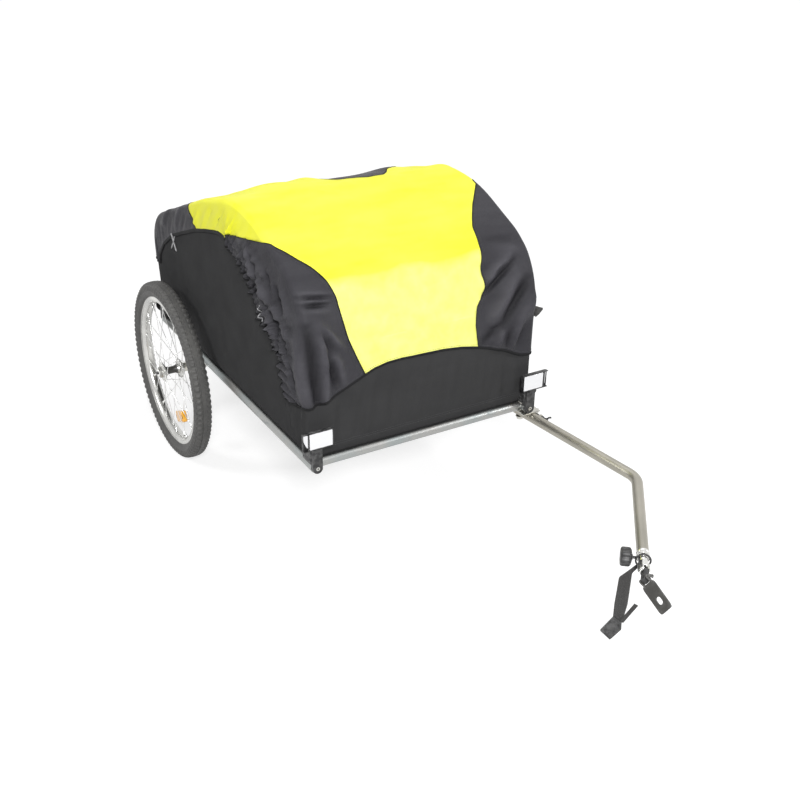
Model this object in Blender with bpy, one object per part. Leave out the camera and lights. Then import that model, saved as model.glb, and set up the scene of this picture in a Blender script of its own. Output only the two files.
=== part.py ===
"""Bike cargo trailer: a welded tube base, two bent side arches, a fabric tub with a rain cover, two spoked wheels
on quick-release stub axles, and a swinging tow arm with a hitch that goes under a bicycle's rear axle nut.

Metres, +Z up. The trailer's front faces -Y and its left side, which carries the tow arm, is +X. The shapes are laid
out with y = 0 on the front rail, and the root empty then moves them so that the origin is the bottom centre of the
whole trailer.
"""
import math

import bmesh
import bpy
from mathutils import Matrix, Vector

# Clearances
GAP = 0.0003
SLIP = 0.0006
ROUND = 16

# Base frame
TUBE_R = 0.0127
TUBE_WALL = 0.0016
RAIL_Z = 0.311
FRAME_HALF = 0.2935
FRAME_LENGTH = 0.930
RAIL_OVERHANG = 0.022
BOLT_R = 0.003
BOLT_HEAD_R = 0.0052
BOLT_HEAD_H = 0.0042

# Corner knuckles
KNUCKLE_HALF = 0.0145
KNUCKLE_TOP = 0.372
KNUCKLE_BOSS_R = 0.0122
KNUCKLE_BOSS_DROP = 0.0025
KNUCKLE_BOSS_DEPTH = 0.0115
KNUCKLE_CHAMFER = 0.002
KNUCKLE_PLUG_LENGTH = 0.016

# Side arches, as the corners of their centreline with a bend radius each
ARCH_R = 0.0095
ARCH_WALL = 0.0015
LEG_INSET = 0.003
ARCH_SHOULDER = (0.698, 0.1635)
ARCH_APEX = (0.307, 0.8294, 0.36)
ARCH_RIDGE = (0.5458, 0.767, 0.50)
ARCH_TAIL = (0.9526, 0.6105, 0.10)
ARCH_TAIL_FOOT = (0.410, 0.20)
BEND_STEP = math.radians(15)
ARCH_STEPS = 8

# Spreaders
SPREADER_R = 0.008
SPREADER_WALL = 0.0015
SPREADER_FRONT_Y = 0.050
SPREADER_REAR_Y = 0.660

# Fabric
FABRIC = 0.002
PANEL_DROP = 0.0065
WALL_FOOT = 0.006
WALL_FLARE = 0.026
FRONT_PANEL_TOP = 0.560
REAR_PANEL_TOP = 0.560
FLOOR_THICKNESS = 0.0025
COVER_HEM_MIDDLE = 0.530
COVER_HEM_CORNER = 0.456
COVER_REAR_HEM = 0.500
HEM_BAND = 0.010
COVER_SKIRT_ROWS = 3
COVER_ACROSS = (-0.85, -0.45, 0.0, 0.45, 0.85)
COVER_SIDE_HEM = ((0.068, 0.462), (0.100, 0.500), (0.122, 0.553), (0.175, 0.585), (0.212, 0.600), (0.245, 0.648),
                  (0.300, 0.687), (0.374, 0.701), (0.410, 0.710), (0.476, 0.708), (0.609, 0.677), (0.710, 0.646),
                  (0.792, 0.617), (0.863, 0.586), (0.904, 0.556), (0.915, 0.500))

# Axle carrier and wheels
AXLE_Y = 0.739
AXLE_Z = 0.249
BEAM_HALF = 0.318
CARRIER_PLATE = 0.005
CARRIER_TOP_HALF = 0.045
CARRIER_BOLT_SPREAD = 0.030
CARRIER_FOOT_R = 0.020
WHEEL_X = 0.361
TYRE_R = 0.249
TYRE_HALF = 0.024
RIM_R = 0.208
RIM_BED_R = 0.2005
RIM_INNER_R = 0.1905
RIM_HALF = 0.014
TYRE_STEPS = 40
RIM_STEPS = 28
HUB_STEPS = 12
TREAD = 0.0025
SPOKES = 28
SPOKE_TURN = math.radians(2)
SPOKE_R = 0.0011
FLANGE_R = 0.027
FLANGE_X = 0.024
FLANGE_HALF = 0.0022
HOLE_CIRCLE_R = 0.0235
LACING = math.radians(64)
HUB_HALF = 0.034
HUB_R = 0.0155
BARREL_R = 0.0135
BEARING_R = 0.0140
BEARING_DEPTH = 0.008
AXLE_R = 0.0060
AXLE_HEAD_R = 0.0120
AXLE_HEAD_H = 0.0045
AXLE_TIP = 0.004
RECEIVER_DEPTH = 0.030
BUTTON_R = 0.0042
BUTTON_LENGTH = 0.014
BUTTON_PROUD = 0.0045
REFLECTOR_CIRCLE_R = 0.132
SPOKE_REFLECTOR = (0.060, 0.032, 0.0144)
VALVE_R = 0.0028
VALVE_LENGTH = 0.030
VALVE_TURN = SPOKE_TURN + math.pi / SPOKES
REFLECTOR_TURN = math.radians(203)

# Front and rear reflectors
LENS_WIDTH = 0.070
LENS_HEIGHT = 0.040
LENS_DEPTH = 0.008
LENS_Z = 0.393
BACKING = 0.003
BACKING_BORDER = 0.0015
REAR_LENS_R = 0.021
REAR_LENS_Z = 0.350
FRONT_LENS_SHIFT = 0.002

# Tow arm
ARM_DROP = 0.0295
ARM_PIVOT = (0.3035, 0.018)
ARM_SPLAY = math.radians(5.5)
ARM_LEG_1 = 0.398
ARM_LEG_2 = 0.302
ARM_TURN = math.radians(44.6)
ARM_BEND_R = 0.062
ARM_STUB = 0.014
PIVOT_R = 0.0050
PIVOT_WASHER_R = 0.0110
BRACKET_PLATE = 0.003
BRACKET_HALF = 0.0165
BRACKET_FRONT = -0.030
BRACKET_REAR = 0.062
BRACKET_OUTER = 0.3285
LIP_HALF = 0.0055
LIP_FROM_PIVOT = 0.036
LOCK_R = 0.0030
LOCK_LENGTH = 0.020
LOCK_OUT = 0.0205
LOCK_TIP = 0.0015
LOCK_GRIP_R = 0.0045
LUG = 0.008
LUG_FROM_PIVOT = 0.054

# Hitch, measured from the end of the tow arm
COLLAR_R = 0.0141
COLLAR_LENGTH = 0.010
COLLAR_BACK = 0.006
KNOB_R = 0.018
KNOB_HEIGHT = 0.022
KNOB_FROM_AXIS = 0.022
KNOB_FORWARD = 0.005
KNOB_DROP = 0.004
KNOB_LOBES = 6
SWIVEL_ROLL = math.radians(55)
SWIVEL_R = 0.0105
SWIVEL_SHANK = 0.030
SWIVEL_BODY = 0.034
SLOT_BOTTOM = 0.044
EAR = 0.0035
EAR_HALF = 0.008
YAW_PIN_Y = 0.056
LINK_LENGTH = 0.028
LINK_HALF = 0.0065
LINK_PAST = 0.0055
LINK_ROUND = 0.003
PIN_R = 0.0030
PLATE_PITCH = math.radians(45)
PLATE_WIDTH = 0.031
PLATE_LENGTH = 0.062
PLATE_THICKNESS = 0.0035
SLOT_R = 0.0052
SLOT_LENGTH = 0.006
SLOT_AT = 0.050
PLATE_START = 0.012
HANDLE_LENGTH = 0.018
STRAP_THICKNESS = 0.0016
STRAP_OUTLINE = ((0.0100, -0.0190), (0.0190, -0.0310), (0.0195, -0.1140), (0.0269, -0.1600),
                 (0.0448, -0.1480), (0.0465, -0.1140), (0.0440, -0.0430), (0.0195, -0.0090))
BUCKLE_OUTLINE = ((0.0265, -0.1612), (0.0255, -0.1810), (0.0464, -0.2110), (0.0690, -0.1890), (0.0450, -0.1492))
BUCKLE_HALF = 0.0035
RING_FORWARD = 0.0165
RING_R = 0.0150
RING_WIRE_R = 0.0020


def clear_scene():
    """Empties the file of every object."""
    for item in list(bpy.data.objects):
        bpy.data.objects.remove(item, do_unlink=True)


def material(name, color, roughness, metallic=0.0):
    """A Principled material with the piece's colour, roughness and metallic value."""
    made = bpy.data.materials.new(name)
    made.use_nodes = True
    shader = made.node_tree.nodes["Principled BSDF"]
    shader.inputs["Base Color"].default_value = (*color, 1.0)
    shader.inputs["Roughness"].default_value = roughness
    shader.inputs["Metallic"].default_value = metallic
    made.diffuse_color = (*color, 1.0)
    return made


def frame(origin, x_axis, y_axis):
    """A placement whose X and Y run along the given directions; Y is squared to X."""
    x_dir = Vector(x_axis).normalized()
    z_dir = x_dir.cross(Vector(y_axis)).normalized()
    y_dir = z_dir.cross(x_dir)
    turn = Matrix((x_dir, y_dir, z_dir)).transposed().to_4x4()
    return Matrix.Translation(Vector(origin)) @ turn


def add(name, shape, look, where=None, parent=None, smooth=True):
    """Puts a finished shape into the scene as one named object."""
    mesh = bpy.data.meshes.new(name)
    bmesh.ops.recalc_face_normals(shape, faces=shape.faces)
    shape.to_mesh(mesh)
    shape.free()
    if smooth:
        mesh.shade_smooth()
        mesh.set_sharp_from_angle(angle=math.radians(35))
    mesh.materials.append(look)
    item = bpy.data.objects.new(name, mesh)
    bpy.context.scene.collection.objects.link(item)
    item.parent = parent
    item.matrix_local = where if where is not None else Matrix()
    return item


def helper(name, shape, parent=None, where=None):
    """A hidden shape that a Boolean uses."""
    mesh = bpy.data.meshes.new(name)
    bmesh.ops.recalc_face_normals(shape, faces=shape.faces)
    shape.to_mesh(mesh)
    shape.free()
    item = bpy.data.objects.new(name, mesh)
    bpy.context.scene.collection.objects.link(item)
    item.parent = parent
    item.matrix_local = where if where is not None else Matrix()
    item.hide_render = True
    item.display_type = "WIRE"
    return item


def combine(item, tool, operation, self_crossing=False):
    """Adds a Boolean of the given kind to an object."""
    step = item.modifiers.new(operation.title(), "BOOLEAN")
    step.operation = operation
    step.object = tool
    step.solver = "EXACT"
    step.use_self = self_crossing


def empty(name, where, parent=None):
    """An empty on a joint's axis, for the pieces that move with it."""
    item = bpy.data.objects.new(name, None)
    item.empty_display_size = 0.03
    bpy.context.scene.collection.objects.link(item)
    item.parent = parent
    item.matrix_local = where
    return item


def loft(shape, rings, closed=False, caps=True):
    """Skins a row of point rings; closed joins the last ring to the first."""
    rows = [[shape.verts.new(point) for point in ring] for ring in rings]
    pairs = list(zip(rows, rows[1:]))
    if closed:
        pairs.append((rows[-1], rows[0]))
    for low, high in pairs:
        for index in range(len(low)):
            after = (index + 1) % len(low)
            shape.faces.new((low[index], low[after], high[after], high[index]))
    if caps and not closed:
        shape.faces.new(rows[0])
        shape.faces.new(rows[-1])
    return rows


def circle(center, radius, x_dir, y_dir, steps):
    """Points round a circle in the plane of two directions."""
    turns = [math.tau * (index + 0.5) / steps for index in range(steps)]
    return [center + radius * (math.cos(t) * x_dir + math.sin(t) * y_dir) for t in turns]


def cylinder(shape, start, end, radius, steps=ROUND, end_radius=None):
    """A closed cylinder or cone between two points."""
    start = Vector(start)
    end = Vector(end)
    along = (end - start).normalized()
    side = Vector((0, 0, 1)) if abs(along.z) < 0.9 else Vector((1, 0, 0))
    x_dir = along.cross(side).normalized()
    y_dir = along.cross(x_dir)
    last = radius if end_radius is None else end_radius
    loft(shape, [circle(start, radius, x_dir, y_dir, steps), circle(end, last, x_dir, y_dir, steps)])


def box(shape, low, high):
    """A closed box between two corners."""
    (x0, y0, z0), (x1, y1, z1) = low, high
    base = [(x0, y0), (x1, y0), (x1, y1), (x0, y1)]
    loft(shape, [[Vector((x, y, z)) for x, y in base] for z in (z0, z1)])


def prism(shape, outline, low, high, to_point):
    """Extrudes a flat outline from one level to another; to_point places (u, v, level)."""
    loft(shape, [[Vector(to_point(u, v, level)) for u, v in outline] for level in (low, high)])


def in_yz(u, v, level):
    """Places an outline drawn in y and z at an x."""
    return (level, u, v)


def in_xz(u, v, level):
    """Places an outline drawn in x and z at a y."""
    return (u, level, v)


def in_xy(u, v, level):
    """Places an outline drawn in x and y at a z."""
    return (u, v, level)


def turned(shape, profile, steps, ring=True, swell=None):
    """Turns a profile of (radius, x) points about the X axis; ring closes the profile on itself."""
    def station(index):
        turn = math.tau * index / steps
        points = []
        for number, (radius, x) in enumerate(profile):
            grown = radius + (swell(index, number) if swell else 0.0)
            points.append(Vector((x, grown * math.cos(turn), grown * math.sin(turn))))
        return points
    if ring:
        loft(shape, [station(index) for index in range(steps)], closed=True)
        return
    rows = [[Vector((x, radius * math.cos(math.tau * i / steps), radius * math.sin(math.tau * i / steps)))
             for i in range(steps)] for radius, x in profile]
    loft(shape, rows)


def rounded(corners, step=BEND_STEP):
    """A path through corners (x, y, bend radius), with each bend as an arc."""
    path = [Vector(corners[0][:2])]
    for before, corner, after in zip(corners, corners[1:], corners[2:]):
        point = Vector(corner[:2])
        back = (Vector(before[:2]) - point).normalized()
        ahead = (Vector(after[:2]) - point).normalized()
        turn = math.pi - back.angle(ahead)
        reach = corner[2] * math.tan(turn / 2)
        center = point + (back + ahead).normalized() * (corner[2] / math.cos(turn / 2))
        arms = point + back * reach - center
        side = 1 if back.x * ahead.y - back.y * ahead.x < 0 else -1
        count = max(2, math.ceil(turn / step))
        for index in range(count + 1):
            angle = side * turn * index / count
            spin = Matrix.Rotation(angle, 2)
            path.append(center + spin @ arms)
    path.append(Vector(corners[-1][:2]))
    return path


def headings(path):
    """The unit direction of a path at each of its points."""
    result = []
    for index in range(len(path)):
        before = path[max(index - 1, 0)]
        after = path[min(index + 1, len(path) - 1)]
        result.append((after - before).normalized())
    return result


def offset(path, distance):
    """A flat path moved sideways to its left by a distance."""
    return [point + distance * Vector((-way.y, way.x)) for point, way in zip(path, headings(path))]


def tube(shape, path, side, radius, bore=None, steps=12):
    """Sweeps a tube along a flat path; side is the unit normal of the path's plane."""
    rings = []
    for point, way in zip(path, headings(path)):
        rings.append(circle(point, radius, side, way.cross(side), steps))
    if bore is None:
        loft(shape, rings)
        return
    inner = []
    for point, way in zip(path, headings(path)):
        inner.append(circle(point, bore, side, way.cross(side), steps))
    loft(shape, rings + inner[::-1], closed=True)


def stadium(half, low, high, steps=10):
    """An outline with straight sides, a square top and a round bottom of the given half width."""
    outline = [(half, high), (-half, high)]
    for index in range(steps + 1):
        turn = math.pi + math.pi * index / steps
        outline.append((half * math.cos(turn), low + half + half * math.sin(turn)))
    return outline


def rounded_outline(half_x, half_y, radius, steps=3):
    """A rectangle with round corners."""
    points = []
    for quarter, (sx, sy) in enumerate(((1, 1), (-1, 1), (-1, -1), (1, -1))):
        for index in range(steps + 1):
            turn = math.pi / 2 * (quarter + index / steps)
            points.append((sx * (half_x - radius) + radius * math.cos(turn),
                           sy * (half_y - radius) + radius * math.sin(turn)))
    return points


def arch_corners():
    """The corners of an arch's centreline in the y and z plane, from the front foot to the rear one."""
    foot = RAIL_Z + TUBE_R + SLIP
    rear_leg = FRAME_LENGTH - LEG_INSET
    return [
        (LEG_INSET, foot, 0.0),
        (LEG_INSET, *ARCH_SHOULDER),
        ARCH_APEX,
        ARCH_RIDGE,
        ARCH_TAIL,
        (rear_leg, *ARCH_TAIL_FOOT),
        (rear_leg, foot, 0.0),
    ]


def arch_point(y_wanted):
    """The centreline point of the arch's upper run at a given y."""
    path = rounded(arch_corners())
    for point, after in zip(path, path[1:]):
        if point.x <= y_wanted <= after.x and point.y > ARCH_TAIL[1]:
            return point.lerp(after, (y_wanted - point.x) / (after.x - point.x))
    return path[-1]


def base_frame(look, root):
    """Two side rails and two cross rails as one welded frame of open tube."""
    low = -RAIL_OVERHANG
    high = FRAME_LENGTH + RAIL_OVERHANG
    sides = bmesh.new()
    crosses = bmesh.new()
    side_bores = bmesh.new()
    cross_bores = bmesh.new()
    bore = TUBE_R - TUBE_WALL
    for x in (-FRAME_HALF, FRAME_HALF):
        cylinder(sides, (x, low, RAIL_Z), (x, high, RAIL_Z), TUBE_R)
        cylinder(side_bores, (x, low - TUBE_R, RAIL_Z), (x, high + TUBE_R, RAIL_Z), bore)
    for y in (0.0, FRAME_LENGTH):
        cylinder(crosses, (-FRAME_HALF, y, RAIL_Z), (FRAME_HALF, y, RAIL_Z), TUBE_R - GAP)
        cylinder(cross_bores, (-FRAME_HALF, y, RAIL_Z), (FRAME_HALF, y, RAIL_Z), bore - GAP)
    holes = bmesh.new()
    for x in (-FRAME_HALF, FRAME_HALF):
        for y in carrier_bolt_places():
            cylinder(holes, (x - 2 * TUBE_R, y, RAIL_Z), (x + 2 * TUBE_R, y, RAIL_Z), BOLT_R + GAP, 10)
    item = add("base_frame", sides, look, parent=root)
    combine(item, helper("cross_rails", crosses, root), "UNION")
    combine(item, helper("side_rail_bores", side_bores, root), "DIFFERENCE")
    combine(item, helper("cross_rail_bores", cross_bores, root), "DIFFERENCE")
    combine(item, helper("rail_bolt_holes", holes, root), "DIFFERENCE")
    return item


def carrier_bolt_places():
    """Where the axle carrier's bolts lie along the side rails."""
    return (AXLE_Y - CARRIER_BOLT_SPREAD, AXLE_Y + CARRIER_BOLT_SPREAD)


def corner_knuckle(name, look, root, x, y, facing):
    """A moulded corner: a plug in the rail end, a round front boss and the socket of an arch leg.

    It is drawn for the front right corner, with the rail end facing -Y, and turned for the others.
    """
    end = -RAIL_OVERHANG
    plug_r = TUBE_R - TUBE_WALL - GAP
    rail_top = TUBE_R + SLIP
    top = KNUCKLE_TOP - RAIL_Z
    body = bmesh.new()
    box(body, (-KNUCKLE_HALF, end - 0.004, rail_top), (KNUCKLE_HALF, LEG_INSET + KNUCKLE_HALF, top))
    boss = bmesh.new()
    face = end - GAP
    low = -KNUCKLE_BOSS_R + KNUCKLE_BOSS_DROP
    outline = stadium(KNUCKLE_BOSS_R, low, top - GAP)
    inner = stadium(KNUCKLE_BOSS_R - KNUCKLE_CHAMFER, low + KNUCKLE_CHAMFER, top - GAP - KNUCKLE_CHAMFER)
    depth = face - KNUCKLE_BOSS_DEPTH
    levels = [(face, outline), (depth + KNUCKLE_CHAMFER, outline), (depth, inner)]
    loft(boss, [[Vector((u, level, v)) for u, v in edge] for level, edge in levels])
    plug = bmesh.new()
    cylinder(plug, (0, face - 0.003, 0), (0, end + KNUCKLE_PLUG_LENGTH, 0), plug_r, 16)
    cuts = bmesh.new()
    cylinder(cuts, (0, LEG_INSET, rail_top - 0.01), (0, LEG_INSET, top + 0.01), ARCH_R + GAP, 16)
    cylinder(cuts, (0, depth - 0.002, KNUCKLE_BOSS_DROP), (0, depth + 0.003, KNUCKLE_BOSS_DROP), 0.0042, 12)
    where = Matrix.Translation((x, y, RAIL_Z)) @ Matrix.Rotation(facing, 4, "Z")
    item = add(name, body, look, where, root)
    combine(item, helper(name + "_boss", boss, root, where), "UNION")
    combine(item, helper(name + "_plug", plug, root, where), "UNION")
    combine(item, helper(name + "_holes", cuts, root, where), "DIFFERENCE")
    return item


def arch_path(x):
    """An arch's centreline at a given x."""
    return [Vector((x, point.x, point.y)) for point in rounded(arch_corners())]


def side_arch(name, look, root, x):
    """A bent tube from the front knuckle over to the rear one."""
    shape = bmesh.new()
    tube(shape, arch_path(x), Vector((1, 0, 0)), ARCH_R, ARCH_R - ARCH_WALL, ARCH_STEPS)
    return add(name, shape, look, parent=root)


def spreader(name, look, root, y_wanted):
    """A cross tube between the arches, with ends coped to fit round them."""
    point = arch_point(y_wanted)
    half = FRAME_HALF - ARCH_R / 2
    shape = bmesh.new()
    path = [Vector((-half, *point)), Vector((half, *point))]
    tube(shape, path, Vector((0, 1, 0)), SPREADER_R, SPREADER_R - SPREADER_WALL, 12)
    copes = bmesh.new()
    for x in (-FRAME_HALF, FRAME_HALF):
        tube(copes, arch_path(x), Vector((1, 0, 0)), ARCH_R + GAP, steps=ARCH_STEPS)
    item = add(name, shape, look, parent=root)
    combine(item, helper(name + "_copes", copes, root), "DIFFERENCE")
    return item


def bolt(shape, profile, side, point, steps=8):
    """A turned bolt along X at a (y, z) point, its head on the given side."""
    rows = []
    for radius, x in profile:
        turns = [math.tau * index / steps for index in range(steps)]
        rows.append([Vector((side * x, point[0] + radius * math.cos(t), point[1] + radius * math.sin(t)))
                     for t in turns])
    loft(shape, rows)


def floor_panel(look, root):
    """The stiff floor of the tub, lying on the rails and notched round the knuckles."""
    low = RAIL_Z + TUBE_R + GAP
    half = FRAME_HALF + 0.006
    front = -0.008
    rear = FRAME_LENGTH + 0.008
    notch_x = FRAME_HALF - KNUCKLE_HALF - SLIP
    notch_y = LEG_INSET + KNUCKLE_HALF + SLIP
    quarter = [(notch_x, front), (notch_x, notch_y), (half, notch_y), (half, FRAME_LENGTH - notch_y),
               (notch_x, FRAME_LENGTH - notch_y), (notch_x, rear)]
    outline = quarter + [(-x, y) for x, y in reversed(quarter)]
    shape = bmesh.new()
    prism(shape, outline, low, low + FLOOR_THICKNESS, in_xy)
    return add("floor_panel", shape, look, parent=root, smooth=False)


def panel_x():
    """The inner face of the side panels, on the outside of the arches."""
    return FRAME_HALF + ARCH_R + GAP


def panel_bottom():
    """The height of the side panels' lower edge, just clear of the curve of the side rails."""
    return RAIL_Z + math.sqrt(TUBE_R ** 2 - (panel_x() - FRAME_HALF) ** 2) + GAP


def rear_line(stand_off):
    """The outer side of the rear legs at a stand-off, from the rear wall's top down to the knuckles."""
    legs = [point for point in rounded(arch_corners()) if point.x > AXLE_Y]
    outer = [point for point in offset(legs, stand_off) if KNUCKLE_TOP < point.y < REAR_PANEL_TOP]
    foot = Vector((FRAME_LENGTH - LEG_INSET + stand_off, KNUCKLE_TOP + SLIP))
    return [Vector((outer[0].x, REAR_PANEL_TOP))] + outer + [foot]


def side_panel(name, look, root, side):
    """A side of the tub: a sheet on the outside of the arch, from the rail to the arch's centreline."""
    notch_y = LEG_INSET + KNUCKLE_HALF + SLIP
    notch_z = KNUCKLE_TOP + SLIP
    front_y = LEG_INSET - ARCH_R
    outline = [(notch_y, panel_bottom()), (notch_y, notch_z), (front_y, notch_z), (front_y, FRONT_PANEL_TOP)]
    outline += [(point.x, point.y) for point in rounded(arch_corners()) if point.y > FRONT_PANEL_TOP + ARCH_R]
    outline += [(point.x, point.y) for point in rear_line(ARCH_R)]
    outline += [(FRAME_LENGTH - notch_y, notch_z), (FRAME_LENGTH - notch_y, panel_bottom())]
    shape = bmesh.new()
    inner = panel_x()
    prism(shape, outline, side * inner, side * (inner + FABRIC), in_yz)
    return add(name, shape, look, parent=root, smooth=False)


def end_panel(name, look, root, path, notch_z):
    """A front or rear wall of the tub: a sheet that follows a (y, z) path, narrower between the knuckles."""
    narrow = FRAME_HALF - KNUCKLE_HALF - SLIP
    wide = panel_x() + FABRIC
    thick = offset(path, FABRIC)
    shape = bmesh.new()
    section = [(point.x, point.y) for point in path] + [(point.x, point.y) for point in reversed(thick)]
    prism(shape, section, -wide, wide, in_yz)
    item = add(name, shape, look, parent=root, smooth=False)
    notches = bmesh.new()
    for side in (-1, 1):
        low_x, high_x = sorted((side * narrow, side * (wide + 0.02)))
        box(notches, (low_x, path[0].x - 0.05, panel_bottom() - 0.05), (high_x, path[0].x + 0.05, notch_z))
    combine(item, helper(name + "_notches", notches, root), "DIFFERENCE")
    return item


def front_panel(look, root):
    """The front wall, hanging over the upper half of the front rail."""
    near = LEG_INSET - ARCH_R - GAP
    over = -TUBE_R - GAP
    path = [Vector((over, panel_bottom() - PANEL_DROP)), Vector((over, panel_bottom() + WALL_FOOT)),
            Vector((near, panel_bottom() + WALL_FLARE)), Vector((near, FRONT_PANEL_TOP))]
    return end_panel("front_panel", look, root, path, KNUCKLE_TOP + SLIP)


def rear_panel(look, root):
    """The rear wall, along the outside of the arches' rear legs."""
    over = FRAME_LENGTH + TUBE_R + GAP
    path = rear_line(ARCH_R + GAP)
    path += [Vector((path[-1].x, panel_bottom() + WALL_FLARE)), Vector((over, panel_bottom() + WALL_FOOT)),
             Vector((over, panel_bottom() - PANEL_DROP))]
    return end_panel("rear_panel", look, root, path, KNUCKLE_TOP + SLIP)


def cover_line(stand_off):
    """The cover's line over an arch at a stand-off, from the front hem to the rear hem, as (y, z) points."""
    outer = offset(rounded(arch_corners()), stand_off)
    rear_y = max(point.x for point in outer)
    start = [Vector((outer[0].x, COVER_HEM_CORNER)), Vector((outer[0].x, COVER_HEM_MIDDLE + HEM_BAND))]
    rise = [point for point in outer if point.y > COVER_HEM_MIDDLE + 4 * HEM_BAND]
    fall = [Vector((rear_y, REAR_PANEL_TOP + HEM_BAND / 2)), Vector((rear_y, COVER_REAR_HEM))]
    return start + rise + fall


def lengths(path):
    """How far along a path each point lies, from 0 to 1."""
    runs = [0.0]
    for before, after in zip(path, path[1:]):
        runs.append(runs[-1] + (after - before).length)
    return [run / runs[-1] for run in runs]


def along(path, share):
    """The point at a share of a path's length."""
    runs = lengths(path)
    for index in range(len(path) - 1):
        if share <= runs[index + 1]:
            local = (share - runs[index]) / (runs[index + 1] - runs[index])
            return path[index].lerp(path[index + 1], local)
    return path[-1]


def cover_skin(shares, thickness):
    """Rows of points over the trailer, from the right hem up, across and down to the left hem."""
    path = cover_line(ARCH_R + FABRIC + 2 * GAP + thickness)
    hem = [Vector(point) for point in COVER_SIDE_HEM]
    edge_x = panel_x() + FABRIC + GAP + thickness
    rows = []
    for point, share in zip(path, shares):
        foot = along(hem, share)
        levels = [foot.lerp(point, step / COVER_SKIRT_ROWS) for step in range(COVER_SKIRT_ROWS + 1)]
        half = [Vector((edge_x, *level)) for level in levels]
        top = []
        for part in COVER_ACROSS:
            lift = (COVER_HEM_MIDDLE - COVER_HEM_CORNER) * (1 - part * part) if share == 0.0 else 0.0
            top.append(Vector((part * FRAME_HALF, point.x, point.y + lift)))
        rows.append([Vector((-v.x, v.y, v.z)) for v in half] + top + half[::-1])
    return rows


def shell(shape, inside, outside):
    """A closed sheet between two grids of points that share their rows and columns."""
    low = [[shape.verts.new(point) for point in row] for row in inside]
    high = [[shape.verts.new(point) for point in row] for row in outside]
    for near, far, top_near, top_far in zip(low, low[1:], high, high[1:]):
        for index in range(len(near) - 1):
            shape.faces.new((near[index], far[index], far[index + 1], near[index + 1]))
            shape.faces.new((top_near[index], top_near[index + 1], top_far[index + 1], top_far[index]))
        for index in (0, -1):
            shape.faces.new((near[index], top_near[index], top_far[index], far[index]))
    for index in range(len(low[0]) - 1):
        for row, top_row in ((low[0], high[0]), (low[-1], high[-1])):
            shape.faces.new((row[index], row[index + 1], top_row[index + 1], top_row[index]))


def cover(look, root):
    """The rain cover: a fabric shell over the arches, with side skirts down to a gathered hem."""
    shares = lengths(cover_line(ARCH_R))
    shape = bmesh.new()
    shell(shape, cover_skin(shares, 0.0), cover_skin(shares, FABRIC))
    return add("cover", shape, look, parent=root)


def axle_carrier(look, root):
    """A hollow beam between the wheels, on two bracket plates that hang from the side rails."""
    beam = bmesh.new()
    cylinder(beam, (-BEAM_HALF, AXLE_Y, AXLE_Z), (BEAM_HALF, AXLE_Y, AXLE_Z), TUBE_R)
    plates = bmesh.new()
    top = RAIL_Z + TUBE_R - CARRIER_PLATE
    foot = CARRIER_FOOT_R
    outline = [(AXLE_Y + CARRIER_TOP_HALF, top), (AXLE_Y - CARRIER_TOP_HALF, top)]
    for index in range(9):
        turn = math.radians(195 + index * 150 / 8)
        outline.append((AXLE_Y + foot * math.cos(turn), AXLE_Z + foot * math.sin(turn)))
    outer = FRAME_HALF - TUBE_R - GAP
    for side in (-1, 1):
        prism(plates, outline, side * (outer - CARRIER_PLATE), side * outer, in_yz)
    bore = bmesh.new()
    reach = BEAM_HALF + TUBE_R
    cylinder(bore, (-reach, AXLE_Y, AXLE_Z), (reach, AXLE_Y, AXLE_Z), TUBE_R - TUBE_WALL)
    holes = bmesh.new()
    for side in (-1, 1):
        for y in carrier_bolt_places():
            near = side * (outer - 2 * CARRIER_PLATE)
            cylinder(holes, (near, y, RAIL_Z), (side * FRAME_HALF, y, RAIL_Z), BOLT_R + GAP, 10)
    item = add("axle_carrier", beam, look, parent=root)
    combine(item, helper("carrier_plates", plates, root), "UNION")
    combine(item, helper("carrier_bore", bore, root), "DIFFERENCE")
    combine(item, helper("carrier_holes", holes, root), "DIFFERENCE")
    return item


def carrier_bolts(look, root):
    """Four bolts with nuts that clamp the carrier's plates to the side rails."""
    seat = FRAME_HALF + TUBE_R + GAP
    nut = FRAME_HALF - TUBE_R - CARRIER_PLATE - 2 * GAP
    profile = [
        (BOLT_R, nut - BOLT_HEAD_H - BOLT_R), (BOLT_R, nut - BOLT_HEAD_H),
        (BOLT_HEAD_R, nut - BOLT_HEAD_H), (BOLT_HEAD_R, nut), (BOLT_R, nut), (BOLT_R, seat),
        (BOLT_HEAD_R, seat), (BOLT_HEAD_R, seat + BOLT_HEAD_H),
    ]
    for side, side_name in ((-1, "right"), (1, "left")):
        for y, place in zip(carrier_bolt_places(), ("front", "rear")):
            shape = bmesh.new()
            bolt(shape, profile, side, (y, RAIL_Z))
            add(f"carrier_bolt_{side_name}_{place}", shape, look, parent=root)


def tyre(name, look, hub):
    """A knobbly tyre: a solid ring whose crown steps in and out from block to block."""
    bead = RIM_R - 0.0044
    half = [
        (bead, RIM_HALF - 0.0028), (RIM_R + 0.0006, RIM_HALF - 0.0024), (RIM_R + 0.0025, RIM_HALF + 0.0015),
        (TYRE_R - 0.027, TYRE_HALF - 0.0012), (TYRE_R - 0.013, TYRE_HALF),
        (TYRE_R - 0.0045, TYRE_HALF - 0.0035), (TYRE_R, TYRE_HALF - 0.0165),
    ]
    profile = half + [(radius, -x) for radius, x in reversed(half)]
    crown = range(len(half) - 2, len(half) + 2)

    def swell(index, number):
        return -TREAD if index % 2 and number in crown else 0.0

    shape = bmesh.new()
    turned(shape, profile, TYRE_STEPS, swell=swell)
    return add(name, shape, look, parent=hub)


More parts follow.
